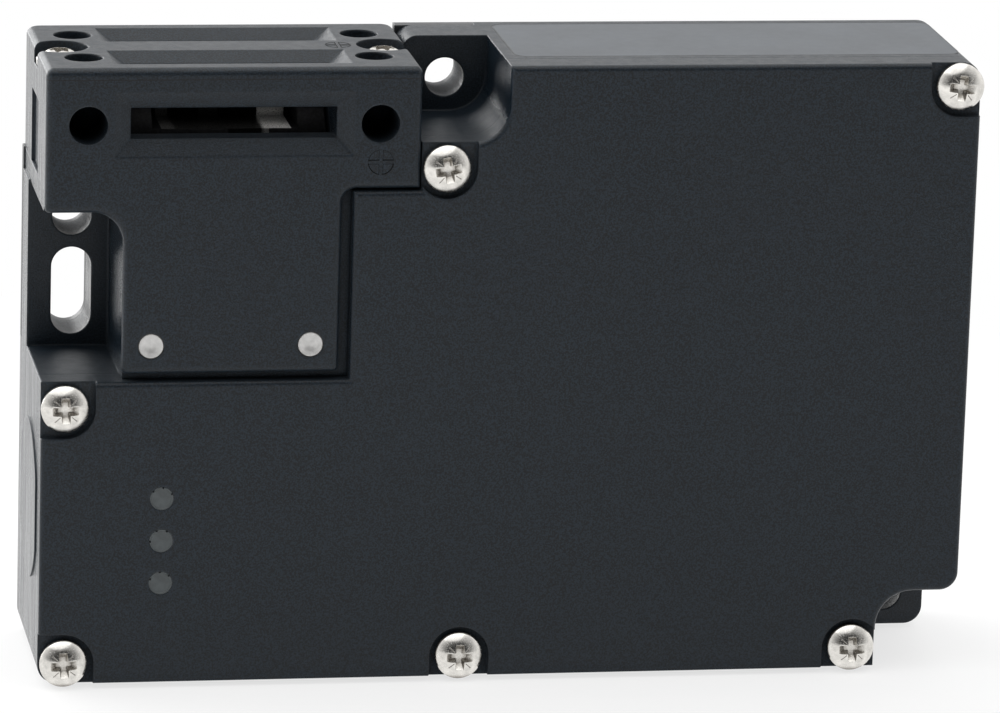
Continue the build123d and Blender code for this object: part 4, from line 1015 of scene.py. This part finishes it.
class INTERLOCK_OT_label_line(InterlockOperator):
    """Build the thin dark line round the bare label plate"""

    bl_idname = "interlock.label_line"
    bl_label = "Label outline"

    def execute(self, context):
        marks = context.scene.interlock_marks
        low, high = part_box("label_plate")
        corner, steps = marks.label_corner, 8
        left, right, front, back = low.x + corner, high.x - corner, low.y + corner, high.y - corner
        points = []
        for radius in (corner, corner - marks.label_line):
            for quarter, (x, y) in enumerate(((right, back), (left, back), (left, front), (right, front))):
                for step in range(steps + 1):
                    turn = math.radians(90 * (quarter + step / steps))
                    points.append((x + radius * math.cos(turn), y + radius * math.sin(turn)))
        verts, faces = raised([(points, ring_quads(len(points) // 2))], marks.relief)
        verts = [(x, y, high.z + z - 0.5 * marks.relief) for x, y, z in verts]
        finish = grained_plastic("label_edge", (0.008, 0.009, 0.010), 0.4, 0.3, 0.2 * MM, 0.003 * MM)
        piece("label_outline", verts, faces, finish.material, "housing")
        return {"FINISHED"}


def squeezed_spring(finish):
    """The plunger's return spring, as its own copy of the CAD spring's mesh on the housing, with the CAD
    spring hidden.
    """
    mesh = frame["nodes"]["plunger_spring"].data.copy()
    coil = place("plunger_coil", mesh, finish.material, "housing")
    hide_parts("plunger_spring")
    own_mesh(coil)


class INTERLOCK_OT_mechanism(InterlockOperator):
    """Give the drum, plunger, lock, magnet and springs their finishes"""

    bl_idname = "interlock.mechanism"
    bl_label = "Mechanism finishes"

    def execute(self, context):
        scene = context.scene
        metal, look = scene.interlock_metal, scene.interlock_plastic
        black = grained_plastic(
            "black_moulding", tuple(look.black), 0.55, 0.06, 0.4 * MM, 0.006 * MM, 0.15 * MM
        )
        wear_all(("actuator_drum", "contact_carrier", "magnet_bobbin"), black)
        steel = plated_metal("machined_steel", tuple(metal.steel), 0.26, direction=(0.15, 1, 1))
        wear_all(("drum_axle", "plunger_rod", "lock_rod"), steel)
        wear_all(("front_insert", "rear_insert"), driver_finish(scene))
        spring = plated_metal("spring_wire", tuple(metal.steel), 0.30, direction=(1, 1, 0.2))
        wear_all(("lock_spring",), spring)
        squeezed_spring(spring)
        iron = plated_metal("magnet_iron", tuple(metal.iron), 0.40, scratch=0.006 * MM)
        wear_all(("armature", "pole_piece", "magnet_yoke"), iron)
        wear_all(("magnet_winding",), winding_finish(scene))
        return {"FINISHED"}


class INTERLOCK_OT_electrics(InterlockOperator):
    """Give the contacts, boards, lamps and terminals their finishes"""

    bl_idname = "interlock.electrics"
    bl_label = "Electrical finishes"

    def execute(self, context):
        scene = context.scene
        metal, look = scene.interlock_metal, scene.interlock_plastic
        brass = plated_metal("contact_brass", tuple(metal.brass), 0.30, direction=(0.2, 1, 1))
        wear_all(("contact_bridges", "fixed_contacts", "terminal_clamps"), brass)
        for node, base in (("contact_block", look.contact_block), ("terminal_block", look.terminal)):
            plastic = grained_plastic(
                f"{node}_plastic", tuple(base), 0.45, 0.5, 0.4 * MM, 0.008 * MM, 0.2 * MM
            )
            wear_all((node,), plastic)
        wear_all(("indicator_board", "terminal_board"), board_finish(scene))
        wear_all(("indicator_leds",), led_finish())
        return {"FINISHED"}


class INTERLOCK_OT_inner_screws(InterlockOperator):
    """Build the slotted clamp screws and the small screws that hold the modules"""

    bl_idname = "interlock.inner_screws"
    bl_label = "Inner screws"

    def execute(self, context):
        screws = context.scene.interlock_screws
        nickel = nickel_finish(context.scene)
        head = INNER_HEAD_HEIGHT
        pitch, depth = 0.5 * screws.thread_pitch, 0.4 * screws.thread_depth

        low, high = solids_of("terminal_screws")[0]
        radius = (high.x - low.x) / 2
        profile = [(0, head), (radius - RIM_BREAK, head), (radius, head - RIM_BREAK)]
        profile += [(radius, RIM_BREAK), (radius - RIM_BREAK, 0)]
        profile += thread(CLAMP_SHANK, depth, pitch, 0, head - (high.y - low.y))
        side, deep, reach = 0.3 * MM, 0.8 * MM, 2 * radius
        ring = [(-reach, -side), (reach, -side), (reach, side), (-reach, side)]
        slot = loft([[(x, y, z) for x, y in ring] for z in (head - deep, head + deep)])
        mesh = screw_mesh("terminal_screw", screws, profile, [slot])
        spins = (0, 12, -8, 35, 4, -21, 16, 2, -30, 9)
        set_screws("terminal_screws", mesh, nickel, FRONT, lambda low, high: low.y + head, spins)

        low, high = solids_of("module_screws")[0]
        profile, ball = pan_head((high.x - low.x) / 2, head)
        profile += thread(MODULE_SHANK, depth, pitch, 0, head - (high.y - low.y))
        cutters = shrunk(cross_cutters(screws, head, ball), SMALL_CROSS, head - SMALL_CROSS * head)
        mesh = screw_mesh("module_screw", screws, profile, cutters)
        spins = (15, -20, 40, 0, 28, -9)
        set_screws("module_screws", mesh, nickel, FRONT, lambda low, high: low.y + head, spins)
        return {"FINISHED"}


class INTERLOCK_OT_stage(InterlockOperator):
    """Set up the floor, the lamps, the background and the camera"""

    bl_idname = "interlock.stage"
    bl_label = "Stage"

    def execute(self, context):
        scene = context.scene
        stage = scene.interlock_stage
        self.lay_floor(stage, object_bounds()[0].z - FLOOR_GAP)
        self.light_room(scene, stage)
        scene.camera = self.stand_camera(stage)
        scene.view_settings.view_transform = "Standard"
        return {"FINISHED"}

    def lay_floor(self, stage, height):
        """A pale disc that keeps the switch's shadow and turns white farther out."""
        steps, reach = 96, stage.floor_radius
        edge = [math.tau * step / steps for step in range(steps)]
        verts = [(reach * math.cos(turn), reach * math.sin(turn), 0) for turn in edge]
        mesh = bpy.data.meshes.new("studio_floor")
        mesh.from_pydata(verts, [], [list(range(steps))])
        floor = bpy.data.objects.new("studio_floor", mesh)
        bpy.context.scene.collection.objects.link(floor)
        floor.location.z = height
        floor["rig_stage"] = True
        finish = Finish("pale_floor")
        grain = finish.spread(finish.noise(4 * MM, detail=3), 0.0, 1.0)
        tone = finish.blend(grain, tuple(0.985 * channel for channel in stage.floor), tuple(stage.floor))
        finish.surface(base_color=tone, roughness=0.9, specular_ior_level=0.1)
        distance = finish.node("ShaderNodeVectorMath", operation="LENGTH")
        finish.join(finish.place, distance.inputs[0])
        shade = stage.shade_radius
        far = finish.ranged(distance.outputs["Value"], 0.3 * shade, shade, 0.72, 1.0)
        white = finish.node("ShaderNodeEmission")
        white.inputs["Color"].default_value = (1, 1, 1, 1)
        path = finish.node("ShaderNodeLightPath")
        lit = finish.math("MAXIMUM", path.outputs["Is Glossy Ray"], path.outputs["Is Transmission Ray"])
        seen = finish.math("MULTIPLY", far, path.outputs["Is Camera Ray"])
        near = stage.mirror_reach
        mirrored = finish.ranged(finish.axes()["Y"], -3.2 * near, -near, 0.2, 1.0)
        amount = finish.math("MAXIMUM", seen, finish.math("MULTIPLY", lit, mirrored))
        mixed = finish.mix_shaders(amount, finish.shader.outputs[0], white.outputs[0])
        finish.join(mixed, finish.tree.nodes["Material Output"].inputs["Surface"])
        mesh.materials.append(finish.material)

    def light_room(self, scene, stage):
        """A room that is bright behind the switch and dark in front of it, and two lamps."""
        world = bpy.data.worlds.new("studio")
        scene.world = world
        world.use_nodes = True
        room = Nodes(world.node_tree, "Generated")
        fill, white = room.tree.nodes["Background"], room.node("ShaderNodeBackground")
        for background in (fill, white):
            background.inputs["Color"].default_value = (1, 1, 1, 1)
        ahead, overhead = -0.80, -0.1
        strength = room.ranged(room.axes()["Y"], ahead, overhead, stage.front_fill, stage.rear_fill)
        room.join(strength, fill.inputs["Strength"])
        path = room.node("ShaderNodeLightPath")
        seen = room.math("MAXIMUM", path.outputs["Is Camera Ray"], path.outputs["Is Transmission Ray"])
        mixed = room.mix_shaders(seen, fill.outputs[0], white.outputs[0])
        room.join(mixed, room.tree.nodes["World Output"].inputs["Surface"])
        lamps = (
            ("key_lamp", (-0.15, -0.10, 0.85), (0, 0, 0), 1.4, stage.key),
            ("rim_lamp", (-0.70, 0.72, 0.12), (-0.03, 0, 0), 1.5, stage.rim),
        )
        for name, origin, target, size, power in lamps:
            lamp = bpy.data.lights.new(name, "AREA")
            lamp.shape = "DISK"
            lamp.size = size
            lamp.energy = power
            obj = bpy.data.objects.new(name, lamp)
            scene.collection.objects.link(obj)
            obj.matrix_world = facing(Vector(origin) - Vector(target), Vector(origin))

    def stand_camera(self, stage):
        """The camera at the photograph's place."""
        camera = bpy.data.cameras.new("photograph_camera")
        camera.lens = stage.lens
        camera.sensor_width = 36
        camera.clip_start, camera.clip_end = 0.01, 20
        obj = bpy.data.objects.new("photograph_camera", camera)
        bpy.context.scene.collection.objects.link(obj)
        around, down = stage.azimuth, stage.elevation
        level = math.cos(down)
        forward = Vector((math.sin(around) * level, math.cos(around) * level, -math.sin(down)))
        turn = facing(-forward, Vector(stage.camera_place))
        obj.matrix_world = turn @ Matrix.Rotation(stage.roll, 4, "Z")
        return obj


OPERATORS = (
    INTERLOCK_OT_housing,
    INTERLOCK_OT_mechanism,
    INTERLOCK_OT_electrics,
    INTERLOCK_OT_cover_screws,
    INTERLOCK_OT_head_screws,
    INTERLOCK_OT_rear_screws,
    INTERLOCK_OT_inner_screws,
    INTERLOCK_OT_pins,
    INTERLOCK_OT_windows,
    INTERLOCK_OT_index_marks,
    INTERLOCK_OT_label_line,
    INTERLOCK_OT_stage,
)
SETTINGS = (
    ("interlock_plastic", InterlockPlastic),
    ("interlock_metal", InterlockMetal),
    ("interlock_screws", InterlockScrews),
    ("interlock_marks", InterlockMarks),
    ("interlock_stage", InterlockStage),
)


class INTERLOCK_PT_panel(bpy.types.Panel):
    """Lists the switch's settings and the steps that build it"""

    bl_idname = "INTERLOCK_PT_panel"
    bl_label = "Tongue interlock switch"
    bl_space_type = "VIEW_3D"
    bl_region_type = "UI"
    bl_category = "Interlock"

    def draw(self, context):
        for operator in OPERATORS:
            self.layout.operator(operator.bl_idname)
        for name, group in SETTINGS:
            box = self.layout.box()
            for prop in group.__annotations__:
                box.prop(getattr(context.scene, name), prop)


def register():
    for name, group in SETTINGS:
        bpy.utils.register_class(group)
        setattr(bpy.types.Scene, name, PointerProperty(type=group))
    for operator in OPERATORS:
        bpy.utils.register_class(operator)
    bpy.utils.register_class(INTERLOCK_PT_panel)


def unregister():
    bpy.utils.unregister_class(INTERLOCK_PT_panel)
    for operator in reversed(OPERATORS):
        bpy.utils.unregister_class(operator)
    for name, group in reversed(SETTINGS):
        delattr(bpy.types.Scene, name)
        bpy.utils.unregister_class(group)


def main():
    register()
    for operator in OPERATORS:
        group, name = operator.bl_idname.split(".")
        getattr(getattr(bpy.ops, group), name)()


if __name__ == "__main__":
    main()
